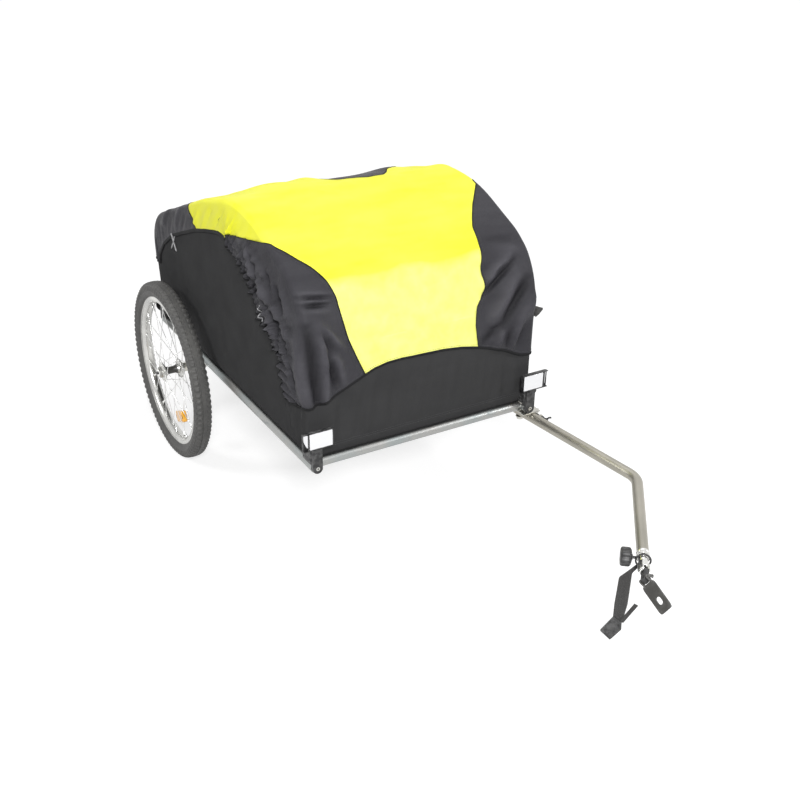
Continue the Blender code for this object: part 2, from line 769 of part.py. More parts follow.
def spoke_ends(number):
    """Where a laced spoke leaves the hub flange and where it meets the rim."""
    side = 1 if number % 2 else -1
    lean = 1 if (number // 2) % 2 else -1
    rim_turn = SPOKE_TURN + math.tau * number / SPOKES
    hub_turn = rim_turn + lean * LACING
    hub_x = side * (FLANGE_X + lean * (FLANGE_HALF - 0.0003))
    start = (hub_x, HOLE_CIRCLE_R * math.cos(hub_turn), HOLE_CIRCLE_R * math.sin(hub_turn))
    reach = (RIM_BED_R + RIM_INNER_R) / 2
    return start, (side * 0.003, reach * math.cos(rim_turn), reach * math.sin(rim_turn))


def wheel(name, look, hub):
    """Rim, hub shell and laced spokes as one welded shape."""
    shape = bmesh.new()
    lip = RIM_HALF - 0.0018
    half = [(RIM_BED_R, 0.006), (RIM_BED_R + 0.0025, lip - 0.0004), (RIM_R, lip), (RIM_R, RIM_HALF),
            (RIM_INNER_R + 0.0045, RIM_HALF), (RIM_INNER_R, 0.006)]
    turned(shape, half + [(radius, -x) for radius, x in reversed(half)], RIM_STEPS)
    seat = BEARING_R + GAP
    bore = AXLE_R + 0.002
    inner_x = HUB_HALF - BEARING_DEPTH
    flange = [(FLANGE_R, FLANGE_X - FLANGE_HALF), (FLANGE_R, FLANGE_X + FLANGE_HALF)]
    outside = [(BARREL_R + 0.002, FLANGE_X - FLANGE_HALF)] + flange
    outside += [(HUB_R, FLANGE_X + FLANGE_HALF), (HUB_R, HUB_HALF)]
    inside = [(seat, HUB_HALF), (seat, inner_x), (bore, inner_x)]
    right_half = [(BARREL_R, 0.008)] + outside + inside
    turned(shape, right_half + [(radius, -x) for radius, x in reversed(right_half)], HUB_STEPS)
    spokes = bmesh.new()
    for number in range(SPOKES):
        start, end = spoke_ends(number)
        cylinder(spokes, start, end, SPOKE_R, 4)
    item = add(name, shape, look, parent=hub)
    combine(item, helper(name + "_spokes", spokes, hub), "UNION", self_crossing=True)
    return item


def ring(shape, inner, outer, low, high):
    """A plain ring about X."""
    turned(shape, [(outer, low), (outer, high), (inner, high), (inner, low)], HUB_STEPS)


def wheel_set(side_name, looks, hub):
    """Everything on one wheel's axle, outward along +X from the wheel's middle."""
    tyre("tyre_" + side_name, looks["rubber"], hub)
    wheel("wheel_" + side_name, looks["chrome"], hub)
    for side, place in ((1, "outer"), (-1, "inner")):
        shape = bmesh.new()
        low, high = sorted((side * (HUB_HALF - BEARING_DEPTH + GAP), side * (HUB_HALF - GAP)))
        ring(shape, AXLE_R + SLIP, BEARING_R, low, high)
        add(f"hub_bearing_{side_name}_{place}", shape, looks["steel"], parent=hub)
    axle_and_button(side_name, looks, hub)
    receiver = bmesh.new()
    beam_end = BEAM_HALF - WHEEL_X
    plug = TUBE_R - TUBE_WALL - GAP
    bore = AXLE_R + SLIP
    profile = [(plug, beam_end - RECEIVER_DEPTH), (plug, beam_end + GAP), (TUBE_R, beam_end + GAP),
               (TUBE_R, -HUB_HALF - SLIP), (bore, -HUB_HALF - SLIP), (bore, beam_end - RECEIVER_DEPTH)]
    turned(receiver, profile, 16)
    add("axle_receiver_" + side_name, receiver, looks["steel"], parent=hub)
    spoke_extras(side_name, looks, hub)


def axle_and_button(side_name, looks, hub):
    """The stub axle with a blind bore in its head, and the release button in that bore."""
    head = HUB_HALF + GAP
    face = head + AXLE_HEAD_H
    inside = BEAM_HALF - WHEEL_X - RECEIVER_DEPTH - AXLE_TIP
    hole = BUTTON_R + GAP
    bottom = face - BUTTON_LENGTH
    profile = [(AXLE_R - 0.001, inside), (AXLE_R, inside + 0.002), (AXLE_R, head), (AXLE_HEAD_R, head),
               (AXLE_HEAD_R, face - 0.001), (AXLE_HEAD_R - 0.001, face), (hole, face), (hole, bottom)]
    axle = bmesh.new()
    turned(axle, profile, 16, ring=False)
    add("stub_axle_" + side_name, axle, looks["steel"], parent=hub)
    button = bmesh.new()
    profile = [(BUTTON_R, bottom + BUTTON_PROUD), (BUTTON_R, face + BUTTON_PROUD - 0.001),
               (BUTTON_R - 0.001, face + BUTTON_PROUD)]
    turned(button, profile, 16, ring=False)
    add("release_button_" + side_name, button, looks["plastic"], parent=hub)


def spoke_extras(side_name, looks, hub):
    """The amber reflector between the spokes and the valve inside the rim."""
    wide, tall, thick = SPOKE_REFLECTOR
    amber = bmesh.new()
    outline = rounded_outline(wide / 2, tall / 2, 0.006, 2)
    prism(amber, outline, -thick / 2, thick / 2, lambda u, v, level: (level, u, v))
    turn = REFLECTOR_TURN
    where = Matrix.Rotation(turn, 4, "X") @ Matrix.Translation((0, 0, REFLECTOR_CIRCLE_R))
    add("spoke_reflector_" + side_name, amber, looks["amber"], where, hub)
    valve = bmesh.new()
    top = RIM_INNER_R * math.cos(math.pi / RIM_STEPS) - GAP
    turn = VALVE_TURN
    way = Vector((0, math.cos(turn), math.sin(turn)))
    cylinder(valve, way * (top - VALVE_LENGTH), way * top, VALVE_R, 10)
    add("valve_" + side_name, valve, looks["rubber"], parent=hub)


def front_reflector(side_name, looks, root, x):
    """A white lens that wraps round to the outer side, in front of a black backing on the knuckle's boss."""
    outward = 1 if x > 0 else -1
    face = -RAIL_OVERHANG - GAP - KNUCKLE_BOSS_DEPTH
    half = LENS_WIDTH / 2 + BACKING_BORDER
    low = LENS_Z - LENS_HEIGHT / 2 - BACKING_BORDER
    high = LENS_Z + LENS_HEIGHT / 2 + BACKING_BORDER
    tongue = KNUCKLE_BOSS_R - KNUCKLE_CHAMFER
    foot = low - 0.012
    back = face - GAP
    outline = [(x - half, low), (x - tongue, low), (x - tongue, foot), (x + tongue, foot), (x + tongue, low),
               (x + half, low), (x + half, high), (x - half, high)]
    backing = bmesh.new()
    prism(backing, outline, back - BACKING, back, in_xz)
    add("reflector_backing_" + side_name, backing, looks["plastic"], parent=root, smooth=False)
    lens_back = back - BACKING - GAP
    inner = x - outward * LENS_WIDTH / 2
    outer = x + outward * LENS_WIDTH / 2
    front = lens_back - LENS_DEPTH
    corner = outer - outward * LENS_DEPTH
    section = [(inner, lens_back), (inner, front), (corner, front), (outer, lens_back)]
    lens = bmesh.new()
    prism(lens, section, LENS_Z - LENS_HEIGHT / 2, LENS_Z + LENS_HEIGHT / 2, in_xy)
    add("reflector_lens_" + side_name, lens, looks["lens"], parent=root, smooth=False)


def rear_reflector(side_name, looks, root, x):
    """A round red reflector on the rear knuckle's boss."""
    face = FRAME_LENGTH + RAIL_OVERHANG + GAP + KNUCKLE_BOSS_DEPTH + GAP
    shape = bmesh.new()
    turned(shape, [(REAR_LENS_R - 0.003, 0.0), (REAR_LENS_R, 0.003), (REAR_LENS_R, LENS_DEPTH)], 20, ring=False)
    where = Matrix.Translation((x, face + LENS_DEPTH, REAR_LENS_Z)) @ Matrix.Rotation(-math.pi / 2, 4, "Z")
    add("rear_reflector_" + side_name, shape, looks["red"], where, root)


def arm_heading(turn):
    """A level unit direction turned inward from straight ahead."""
    return Vector((-math.sin(turn), -math.cos(turn), 0.0))


def arm_height():
    """The height of the tow arm's axis."""
    return RAIL_Z - ARM_DROP


def arm_end():
    """The tow arm's front end, where the hitch starts."""
    pivot = Vector((*ARM_PIVOT, arm_height()))
    return pivot + arm_heading(-ARM_SPLAY) * ARM_LEG_1 + arm_heading(ARM_TURN - ARM_SPLAY) * ARM_LEG_2


def tow_arm(looks, arm):
    """The bent tow arm, in the frame of its pivot, with a lug for the lock pin on its outer side."""
    ahead = arm_heading(-ARM_SPLAY)
    bend = ahead * ARM_LEG_1
    end = bend + arm_heading(ARM_TURN - ARM_SPLAY) * ARM_LEG_2
    corners = [(*(-ahead * ARM_STUB).xy, 0.0), (*bend.xy, ARM_BEND_R), (*end.xy, 0.0)]
    path = [Vector((*point, 0.0)) for point in rounded(corners, math.radians(8))]
    shape = bmesh.new()
    tube(shape, path, Vector((0, 0, 1)), TUBE_R, steps=ROUND)
    lug = bmesh.new()
    near = LUG_FROM_PIVOT - LUG / 2
    box(lug, (-LOCK_OUT - LUG / 2, near, -LUG / 2), (-TUBE_R / 2, near + LUG, LUG / 2))
    bore = bmesh.new()
    long_path = [path[0] - ahead * 0.01] + path[1:-1] + [path[-1] + (path[-1] - path[-2]).normalized() * 0.01]
    tube(bore, long_path, Vector((0, 0, 1)), TUBE_R - TUBE_WALL, steps=ROUND)
    holes = bmesh.new()
    cylinder(holes, (0, 0, -2 * TUBE_R), (0, 0, 2 * TUBE_R), PIVOT_R + GAP, 16)
    lock_hole = bmesh.new()
    cylinder(lock_hole, (-LOCK_OUT, near - LUG, 0), (-LOCK_OUT, near + 2 * LUG, 0), LOCK_R + GAP, 10)
    item = add("tow_arm", shape, looks["alloy"], parent=arm)
    combine(item, helper("tow_arm_lug", lug, arm, along_arm()), "UNION")
    combine(item, helper("tow_arm_bore", bore, arm), "DIFFERENCE")
    combine(item, helper("tow_arm_pivot_hole", holes, arm), "DIFFERENCE")
    combine(item, helper("tow_arm_lock_hole", lock_hole, arm, along_arm()), "DIFFERENCE")
    plug = bmesh.new()
    fit = TUBE_R - TUBE_WALL - GAP
    profile = [(fit, -0.006), (fit, GAP), (TUBE_R, GAP), (TUBE_R - 0.001, 0.0025)]
    turned(plug, profile, ROUND, ring=False)
    where = along_arm() @ Matrix.Translation((0, -ARM_STUB, 0)) @ Matrix.Rotation(-math.pi / 2, 4, "Z")
    add("arm_end_plug", plug, looks["plastic"], where, arm)
    return item


def along_arm():
    """A frame at the pivot with +Y forward along the arm's first leg, +X to its inner side and +Z up."""
    ahead = arm_heading(-ARM_SPLAY)
    return frame((0, 0, 0), ahead.cross(Vector((0, 0, 1))), ahead)


def arm_bracket(look, root):
    """A plate under the left rail for the arm's pivot, with a lip that the lock pin enters."""
    top = RAIL_Z - TUBE_R - GAP
    low = top - BRACKET_PLATE
    plate = bmesh.new()
    box(plate, (FRAME_HALF - BRACKET_HALF, BRACKET_FRONT, low), (BRACKET_OUTER, BRACKET_REAR, top))
    where = Matrix.Translation((*ARM_PIVOT, arm_height())) @ along_arm()
    lip = bmesh.new()
    lift = low - arm_height()
    box(lip, (-LOCK_OUT - LIP_HALF, LIP_FROM_PIVOT, -LIP_HALF),
        (-LOCK_OUT + LIP_HALF, LIP_FROM_PIVOT + BRACKET_PLATE, lift + BRACKET_PLATE / 2))
    holes = bmesh.new()
    pivot = Vector((*ARM_PIVOT, 0))
    cylinder(holes, pivot + Vector((0, 0, low - 0.0002)), pivot + Vector((0, 0, top + 0.0002)), PIVOT_R + GAP,
             16, PIVOT_R + BRACKET_PLATE + GAP)
    lock = bmesh.new()
    cylinder(lock, (-LOCK_OUT, LIP_FROM_PIVOT - 0.01, 0), (-LOCK_OUT, LIP_FROM_PIVOT + 0.01, 0), LOCK_R + GAP, 10)
    item = add("arm_bracket", plate, look, parent=root, smooth=False)
    combine(item, helper("arm_bracket_lip", lip, root, where), "UNION")
    combine(item, helper("arm_bracket_pivot_hole", holes, root), "DIFFERENCE")
    combine(item, helper("arm_bracket_lock_hole", lock, root, where), "DIFFERENCE")
    return item


def pivot_bolt(look, root):
    """A countersunk bolt down through the bracket and the arm, with a washer and nut below."""
    top = RAIL_Z - TUBE_R - GAP - arm_height()
    low = top - BRACKET_PLATE
    washer = -TUBE_R - SLIP
    profile = [(PIVOT_R + BRACKET_PLATE - GAP, top - GAP), (PIVOT_R, low), (PIVOT_R, washer),
               (PIVOT_WASHER_R, washer), (PIVOT_WASHER_R, washer - 0.002), (PIVOT_WASHER_R - 0.003, washer - 0.002),
               (PIVOT_WASHER_R - 0.003, washer - 0.008)]
    shape = bmesh.new()
    rows = [circle(Vector((0, 0, z)), radius, Vector((1, 0, 0)), Vector((0, 1, 0)), 16) for radius, z in profile]
    loft(shape, rows)
    where = Matrix.Translation((*ARM_PIVOT, arm_height()))
    return add("pivot_bolt", shape, look, where, root)


def arm_lock_pin(look, arm):
    """A spring pin through the arm's lug into the bracket's lip, with a thicker grip in front."""
    start = LIP_FROM_PIVOT - LOCK_TIP
    grip = LUG_FROM_PIVOT + LUG / 2 + SLIP
    profile = [(LOCK_R - 0.001, 0.0), (LOCK_R, 0.001), (LOCK_R, grip - start), (LOCK_GRIP_R, grip - start),
               (LOCK_GRIP_R, grip - start + 0.004), (LOCK_R, grip - start + 0.006),
               (LOCK_R, grip - start + LOCK_LENGTH), (LOCK_R - 0.001, grip - start + LOCK_LENGTH + 0.001)]
    shape = bmesh.new()
    turned(shape, profile, 10, ring=False)
    where = along_arm() @ Matrix.Translation((-LOCK_OUT, start, 0)) @ Matrix.Rotation(math.pi / 2, 4, "Z")
    return add("arm_lock_pin", shape, look, where, arm)


def hitch_frame():
    """A frame at the arm's end: +Y on along the arm, +X to the inner side, +Z up."""
    ahead = arm_heading(ARM_TURN - ARM_SPLAY)
    inner = ahead.cross(Vector((0, 0, 1)))
    return frame(arm_end(), inner, ahead)


def collar_and_knob(looks, arm):
    """The silver collar on the arm's end and the clamping knob on its inner side."""
    to_arm = Matrix.Translation((*ARM_PIVOT, arm_height())).inverted() @ hitch_frame()
    shape = bmesh.new()
    over = TUBE_R + GAP
    inside = SWIVEL_R + SLIP
    section = [(over, -COLLAR_BACK), (COLLAR_R, -COLLAR_BACK), (COLLAR_R, COLLAR_LENGTH), (inside, COLLAR_LENGTH),
               (inside, SLIP), (over, SLIP)]
    turned(shape, section, ROUND)
    about_y = Matrix.Rotation(math.pi / 2, 4, "Z")
    hole = bmesh.new()
    where = to_arm @ Matrix.Translation((0, KNOB_FORWARD, -KNOB_DROP))
    cylinder(hole, (0, 0, 0), (2 * COLLAR_R, 0, 0), BOLT_R + GAP, 10)
    item = add("hitch_collar", shape, looks["chrome"], to_arm @ about_y, arm)
    combine(item, helper("hitch_collar_hole", hole, arm, where), "DIFFERENCE")
    knob(looks, arm, where)
    return to_arm


def knob(looks, arm, where):
    """A lobed knob on a threaded stem, about its own X axis."""
    shape = bmesh.new()
    steps = 4 * KNOB_LOBES
    start = KNOB_FROM_AXIS
    profile = [(BOLT_R, SWIVEL_R + GAP), (BOLT_R, start), (KNOB_R * 0.6, start), (KNOB_R * 0.95, start + 0.004),
               (KNOB_R, start + 0.008), (KNOB_R, start + KNOB_HEIGHT - 0.003), (KNOB_R * 0.85, start + KNOB_HEIGHT)]
    rows = []
    for radius, x in profile:
        points = []
        for index in range(steps):
            turn = math.tau * index / steps
            dent = 0.12 * (0.5 - 0.5 * math.cos(KNOB_LOBES * turn)) if radius > BOLT_R else 0.0
            points.append(Vector((x, radius * (1 - dent) * math.cos(turn), radius * (1 - dent) * math.sin(turn))))
        rows.append(points)
    loft(shape, rows)
    return add("hitch_knob", shape, looks["plastic"], where, arm)


def safety_strap(looks, arm, to_arm):
    """A ring on the swivel, the webbing that hangs from it and the folded end with its buckle."""
    at = to_arm @ Matrix.Translation((0, RING_FORWARD, 0))
    ring_shape = bmesh.new()
    wire = RING_WIRE_R
    drop = RING_R - wire - SWIVEL_R - SLIP
    rows = []
    for index in range(16):
        turn = math.tau * index / 16
        way = Vector((math.cos(turn), 0, math.sin(turn)))
        rows.append(circle(way * RING_R - Vector((0, 0, drop)), wire, way, Vector((0, 1, 0)), 8))
    loft(ring_shape, rows, closed=True)
    add("strap_ring", ring_shape, looks["plastic"], at, arm)
    strap = bmesh.new()
    half = STRAP_THICKNESS / 2
    prism(strap, STRAP_OUTLINE, -half, half, in_xz)
    add("safety_strap", strap, looks["webbing"], at, arm, smooth=False)
    buckle = bmesh.new()
    prism(buckle, BUCKLE_OUTLINE, -BUCKLE_HALF, BUCKLE_HALF, in_xz)
    add("strap_buckle", buckle, looks["plastic"], at, arm, smooth=False)


def half_round(half, length, low, steps=6):
    """An outline along +Y from a square end at low to a round end whose centre is at length."""
    outline = [(half, low), (half, length)]
    for index in range(1, steps):
        turn = math.pi * index / steps
        outline.append((half * math.cos(turn), length + half * math.sin(turn)))
    return outline + [(-half, length), (-half, low)]


def hitch_swivel(look, swivel):
    """A round shank in the arm's end that carries a fork."""
    body = bmesh.new()
    turned(body, [(SWIVEL_R - 0.001, -SWIVEL_SHANK), (SWIVEL_R, -SWIVEL_SHANK + 0.002), (SWIVEL_R, SWIVEL_BODY),
                  (SWIVEL_R - 0.002, SLOT_BOTTOM)], 18, ring=False)
    ears = bmesh.new()
    inner = LINK_HALF + SLIP
    for side in (-1, 1):
        outline = half_round(EAR_HALF, YAW_PIN_Y, SWIVEL_BODY - 0.004)
        prism(ears, outline, side * inner, side * (inner + EAR), in_xy)
    holes = bmesh.new()
    cylinder(holes, (0, YAW_PIN_Y, -0.02), (0, YAW_PIN_Y, 0.02), PIN_R + GAP, 12)
    item = add("hitch_swivel", body, look, Matrix.Rotation(math.pi / 2, 4, "Z"), swivel)
    combine(item, helper("hitch_swivel_ears", ears, swivel), "UNION")
    combine(item, helper("hitch_swivel_hole", holes, swivel), "DIFFERENCE")
    return item


def yaw_pin(look, swivel):
    """A riveted pin across the fork."""
    out = LINK_HALF + SLIP + EAR + GAP
    profile = [(PIN_R + 0.0015, -out - 0.0012), (PIN_R + 0.0015, -out), (PIN_R, -out), (PIN_R, out),
               (PIN_R + 0.0015, out), (PIN_R + 0.0015, out + 0.0012)]
    shape = bmesh.new()
    rows = [circle(Vector((0, YAW_PIN_Y, z)), radius, Vector((1, 0, 0)), Vector((0, 1, 0)), 12)
            for radius, z in profile]
    loft(shape, rows)
    return add("yaw_pin", shape, look, parent=swivel)


def hitch_link(look, yaw):
    """A block between the two crossed pins, with round corners."""
    shape = bmesh.new()
    outline = [(u, v + LINK_LENGTH / 2) for u, v in rounded_outline(LINK_HALF, LINK_LENGTH / 2 + LINK_PAST, LINK_ROUND)]
    prism(shape, outline, -LINK_HALF, LINK_HALF, in_xy)
    holes = bmesh.new()
    cylinder(holes, (0, 0, -0.02), (0, 0, 0.02), PIN_R + SLIP, 12)
    cylinder(holes, (-0.02, LINK_LENGTH, 0), (0.02, LINK_LENGTH, 0), PIN_R + SLIP, 12)
    item = add("hitch_link", shape, look, parent=yaw, smooth=False)
    combine(item, helper("hitch_link_holes", holes, yaw), "DIFFERENCE")
    return item


def axle_plate(look, pitch):
    """The plate that goes under the bicycle's axle nut, on two ears round the hitch pin."""
    shape = bmesh.new()
    outline = [(u, v + PLATE_START + PLATE_LENGTH / 2)
               for u, v in rounded_outline(PLATE_WIDTH / 2, PLATE_LENGTH / 2, 0.005, 2)]
    half = PLATE_THICKNESS / 2
    prism(shape, outline, -half, half, in_xy)
    ears = bmesh.new()
    inner = LINK_HALF + SLIP
    for side in (-1, 1):
        profile = [(PLATE_START + 0.004, half), (PLATE_START + 0.004, -half)]
        for index in range(7):
            turn = math.radians(-90 - 30 * index)
            profile.append((LINK_HALF * math.cos(turn), LINK_HALF * math.sin(turn)))
        prism(ears, profile, side * inner, side * (inner + EAR), in_yz)
    holes = bmesh.new()
    cylinder(holes, (-0.03, 0, 0), (0.03, 0, 0), PIN_R + SLIP, 12)
    slot = bmesh.new()
    ends = []
    for index in range(14):
        turn = math.pi * index / 6 if index < 7 else math.pi * (index - 1) / 6
        shift = SLOT_LENGTH / 2 if index < 7 else -SLOT_LENGTH / 2
        ends.append((SLOT_R * math.cos(turn), SLOT_AT + shift + SLOT_R * math.sin(turn)))
    prism(slot, ends, -0.01, 0.01, in_xy)
    item = add("axle_plate", shape, look, parent=pitch, smooth=False)
    combine(item, helper("axle_plate_ears", ears, pitch), "UNION")
    combine(item, helper("axle_plate_pin_hole", holes, pitch), "DIFFERENCE")
    combine(item, helper("axle_plate_slot", slot, pitch), "DIFFERENCE")
    return item


def hitch_pin(look, pitch):
    """A pull-out pin with a bent handle on the upper side."""
    out = LINK_HALF + EAR + SLIP
    bend = PIN_R + SLIP
    handle = -out - bend
    corners = [(out + SLIP, 0.0, 0.0), (handle, 0.0, bend), (handle, -HANDLE_LENGTH, 0.0)]
    path = [Vector((point.x, 0.0, point.y)) for point in rounded(corners, math.radians(25))]
    shape = bmesh.new()
    tube(shape, path, Vector((0, 1, 0)), PIN_R, steps=10)
    return add("hitch_pin", shape, look, parent=pitch)


def hitch(looks, root):
    """The chain of pieces beyond the arm, each on an empty at its own joint."""
    arm = empty("arm_pivot", Matrix.Translation((*ARM_PIVOT, arm_height())), root)
    tow_arm(looks, arm)
    arm_lock_pin(looks["steel"], arm)
    to_arm = collar_and_knob(looks, arm)
    safety_strap(looks, arm, to_arm)
    swivel = empty("swivel_axis", to_arm @ Matrix.Rotation(SWIVEL_ROLL, 4, "Y"), arm)
    hitch_swivel(looks["steel"], swivel)
    yaw_pin(looks["steel"], swivel)
    yaw = empty("yaw_axis", Matrix.Translation((0, YAW_PIN_Y, 0)), swivel)
    hitch_link(looks["steel"], yaw)
    tilt = Matrix.Translation((0, LINK_LENGTH, 0)) @ Matrix.Rotation(-PLATE_PITCH, 4, "X")
    pitch = empty("pitch_axis", tilt, yaw)
    axle_plate(looks["black_steel"], pitch)
    hitch_pin(looks["black_steel"], pitch)


def center_on_box(root):
    """Moves the root so that the origin is the bottom centre of the whole trailer."""
    bpy.context.view_layer.update()
    graph = bpy.context.evaluated_depsgraph_get()
    points = []
    for item in bpy.context.scene.objects:
        if item.type == "MESH" and not item.hide_render:
            solid = item.evaluated_get(graph)
            points += [solid.matrix_world @ vertex.co for vertex in solid.data.vertices]
    low = [min(point[axis] for point in points) for axis in range(3)]
    high = [max(point[axis] for point in points) for axis in range(3)]
    root.location = (-(low[0] + high[0]) / 2, -(low[1] + high[1]) / 2, -low[2])


def make_looks():
    """One material for each finish."""
    return {
        "alloy": material("brushed_alloy", (0.60, 0.61, 0.62), 0.32, 1.0),
        "chrome": material("chrome", (0.75, 0.76, 0.77), 0.12, 1.0),
        "steel": material("zinc_steel", (0.55, 0.56, 0.55), 0.35, 1.0),
        "black_steel": material("black_steel", (0.03, 0.03, 0.03), 0.40, 0.6),
        "plastic": material("black_plastic", (0.02, 0.02, 0.021), 0.45),
        "rubber": material("tyre_rubber", (0.025, 0.024, 0.024), 0.80),
        "fabric": material("black_fabric", (0.045, 0.044, 0.046), 0.85),
        "webbing": material("black_webbing", (0.035, 0.034, 0.033), 0.80),
        "yellow": material("yellow_fabric", (0.95, 0.95, 0.09), 0.75),
        "lens": material("white_lens", (0.85, 0.86, 0.88), 0.15),
        "amber": material("amber_lens", (0.90, 0.32, 0.03), 0.20),
        "red": material("red_lens", (0.60, 0.02, 0.02), 0.20),
    }


def main():
    """Builds the trailer."""
    clear_scene()
    looks = make_looks()
    root = empty("trailer", Matrix())
    base_frame(looks["alloy"], root)
    rear = FRAME_LENGTH
    for side_name, x in (("right", -FRAME_HALF), ("left", FRAME_HALF)):
        corner_knuckle("corner_knuckle_front_" + side_name, looks["plastic"], root, x, 0.0, 0.0)
        corner_knuckle("corner_knuckle_rear_" + side_name, looks["plastic"], root, x, rear, math.pi)
        side_arch("side_arch_" + side_name, looks["alloy"], root, x)
        front_reflector(side_name, looks, root, x + (FRONT_LENS_SHIFT if x > 0 else -FRONT_LENS_SHIFT))
        rear_reflector(side_name, looks, root, x)
        side_panel("side_panel_" + side_name, looks["fabric"], root, 1 if x > 0 else -1)
    spreader("spreader_front", looks["alloy"], root, SPREADER_FRONT_Y)
    spreader("spreader_rear", looks["alloy"], root, SPREADER_REAR_Y)
    floor_panel(looks["plastic"], root)
    front_panel(looks["fabric"], root)
    rear_panel(looks["fabric"], root)
    cover(looks["yellow"], root)
    axle_carrier(looks["steel"], root)
    carrier_bolts(looks["steel"], root)
    for side_name, x, turn in (("left", WHEEL_X, 0.0), ("right", -WHEEL_X, math.pi)):
        place = Matrix.Translation((x, AXLE_Y, AXLE_Z)) @ Matrix.Rotation(turn, 4, "Z")
        wheel_set(side_name, looks, empty("wheel_axis_" + side_name, place, root))
    arm_bracket(looks["steel"], root)
    pivot_bolt(looks["steel"], root)
    hitch(looks, root)
    center_on_box(root)


main()
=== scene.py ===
"""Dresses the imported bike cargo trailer: frame, tub, rain cover, wheels, reflectors, tow arm and hitch."""
import logging
import math
from dataclasses import dataclass, field
from enum import Enum

import bmesh
import bpy
import numpy as np
from mathutils import Matrix, Vector


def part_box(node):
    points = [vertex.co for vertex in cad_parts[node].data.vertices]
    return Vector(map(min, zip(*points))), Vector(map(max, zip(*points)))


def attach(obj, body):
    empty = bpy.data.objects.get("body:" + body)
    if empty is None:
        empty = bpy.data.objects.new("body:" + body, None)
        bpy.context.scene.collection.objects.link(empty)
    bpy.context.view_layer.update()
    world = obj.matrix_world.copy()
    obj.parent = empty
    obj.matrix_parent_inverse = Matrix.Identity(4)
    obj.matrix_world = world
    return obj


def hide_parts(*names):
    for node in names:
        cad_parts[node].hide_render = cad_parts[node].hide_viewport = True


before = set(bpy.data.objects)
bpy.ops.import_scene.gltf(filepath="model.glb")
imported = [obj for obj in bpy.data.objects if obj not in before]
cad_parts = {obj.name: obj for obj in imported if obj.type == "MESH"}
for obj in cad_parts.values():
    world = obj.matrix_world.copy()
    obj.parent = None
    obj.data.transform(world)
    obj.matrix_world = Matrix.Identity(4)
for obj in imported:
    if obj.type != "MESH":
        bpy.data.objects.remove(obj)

LOG = logging.getLogger("trailer")
Array = np.ndarray
Socket = bpy.types.NodeSocket
Material = bpy.types.Material


def mm(*rows: tuple) -> tuple:
    """Measured points given in millimetres, turned into metres."""
    return tuple(tuple(value / 1000 for value in row) for row in rows)


# Sizes that several sub-assemblies share, in metres: x across, y rearward from the front rail, z up from the ground.
GAP = 0.0003
TUBE_R = 0.0127
RAIL_Z = 0.311
FRAME_HALF = 0.2935
FRAME_LENGTH = 0.93
RAIL_OVERHANG = 0.022
BOSS_THICK = 0.0115
ARCH_R = 0.0095
WALL_OUT = 0.0118
COVER_OUT = 0.0141
LEG_Y = 0.003
REAR_LEG_Y = 0.927
KNUCKLE_TOP = 0.3726
KNUCKLE_HALF = 0.0145
AXLE = (0.739, 0.249)
ARCH_CORNERS = mm((3, 324.3, 0), (3, 698, 163.5), (307, 829.4, 360), (545.8, 767, 500), (952.6, 610.5, 100),
                  (927, 410, 200), (927, 324.3, 0))
W_MIDDLE, W_END = 2.2, 4.4
ACROSS, ALONG, UP = (1, 0, 0), (0, 1, 0), (0, 0, 1)
SKEW = (0.31, 0.17, 0.93)


class Side(Enum):
    """The two sides of the trailer, by the sign of x."""

    RIGHT = -1
    LEFT = 1

    @property
    def word(self) -> str:
        """The side's name as the nodes spell it."""
        return self.name.lower()


def unit(vectors: Array) -> Array:
    """Each vector divided by its own length."""
    vectors = np.asarray(vectors, float)
    return vectors / np.maximum(np.linalg.norm(vectors, axis=-1, keepdims=True), 1e-12)


def stack(*parts: object) -> Array:
    """Coordinates spread to one shape and put together into points."""
    return np.stack(np.broadcast_arrays(*parts), -1)


def turns(steps: int) -> Array:
    """Equal angles round a circle."""
    return np.arange(steps) * math.tau / steps


def circle(angle: Array) -> Array:
    """The point (cos a, sin a) at each angle a."""
    return stack(np.cos(angle), np.sin(angle))


def read(places: Array, known: Array, rows: Array) -> Array:
    """Rows of values read at the places, between the places where they are known."""
    return np.stack([np.interp(places, known, column) for column in np.asarray(rows).T], -1)


def ease(share: Array) -> Array:
    """Smooth step: 3 s squared less 2 s cubed, for s held between 0 and 1."""
    share = np.clip(share, 0, 1)
    return share * share * (3 - 2 * share)


def bell(away: Array, width: float) -> Array:
    """1 at no distance, falling by the square of the distance over the width."""
    return np.exp(-((away / width) ** 2))


def ripple(along: Array, pitch: float, seed: int, terms: int = 5) -> Array:
    """An uneven wave between -1 and 1: a sum of sines whose pitches scatter round the given one.

    Args:
        along: Positions in metres.
        pitch: The typical distance between two crests.
        seed: Makes the scatter the same each run.
        terms: How many sines are summed.

    Returns:
        The wave's height at each position.
    """
    random = np.random.default_rng(seed)
    rates = math.tau / (pitch * random.uniform(0.65, 1.6, terms))
    phases = random.uniform(0, math.tau, terms)
    waves = np.sin(np.asarray(along, float)[..., None] * rates + phases)
    return waves.sum(-1) / terms ** 0.5 / 1.2


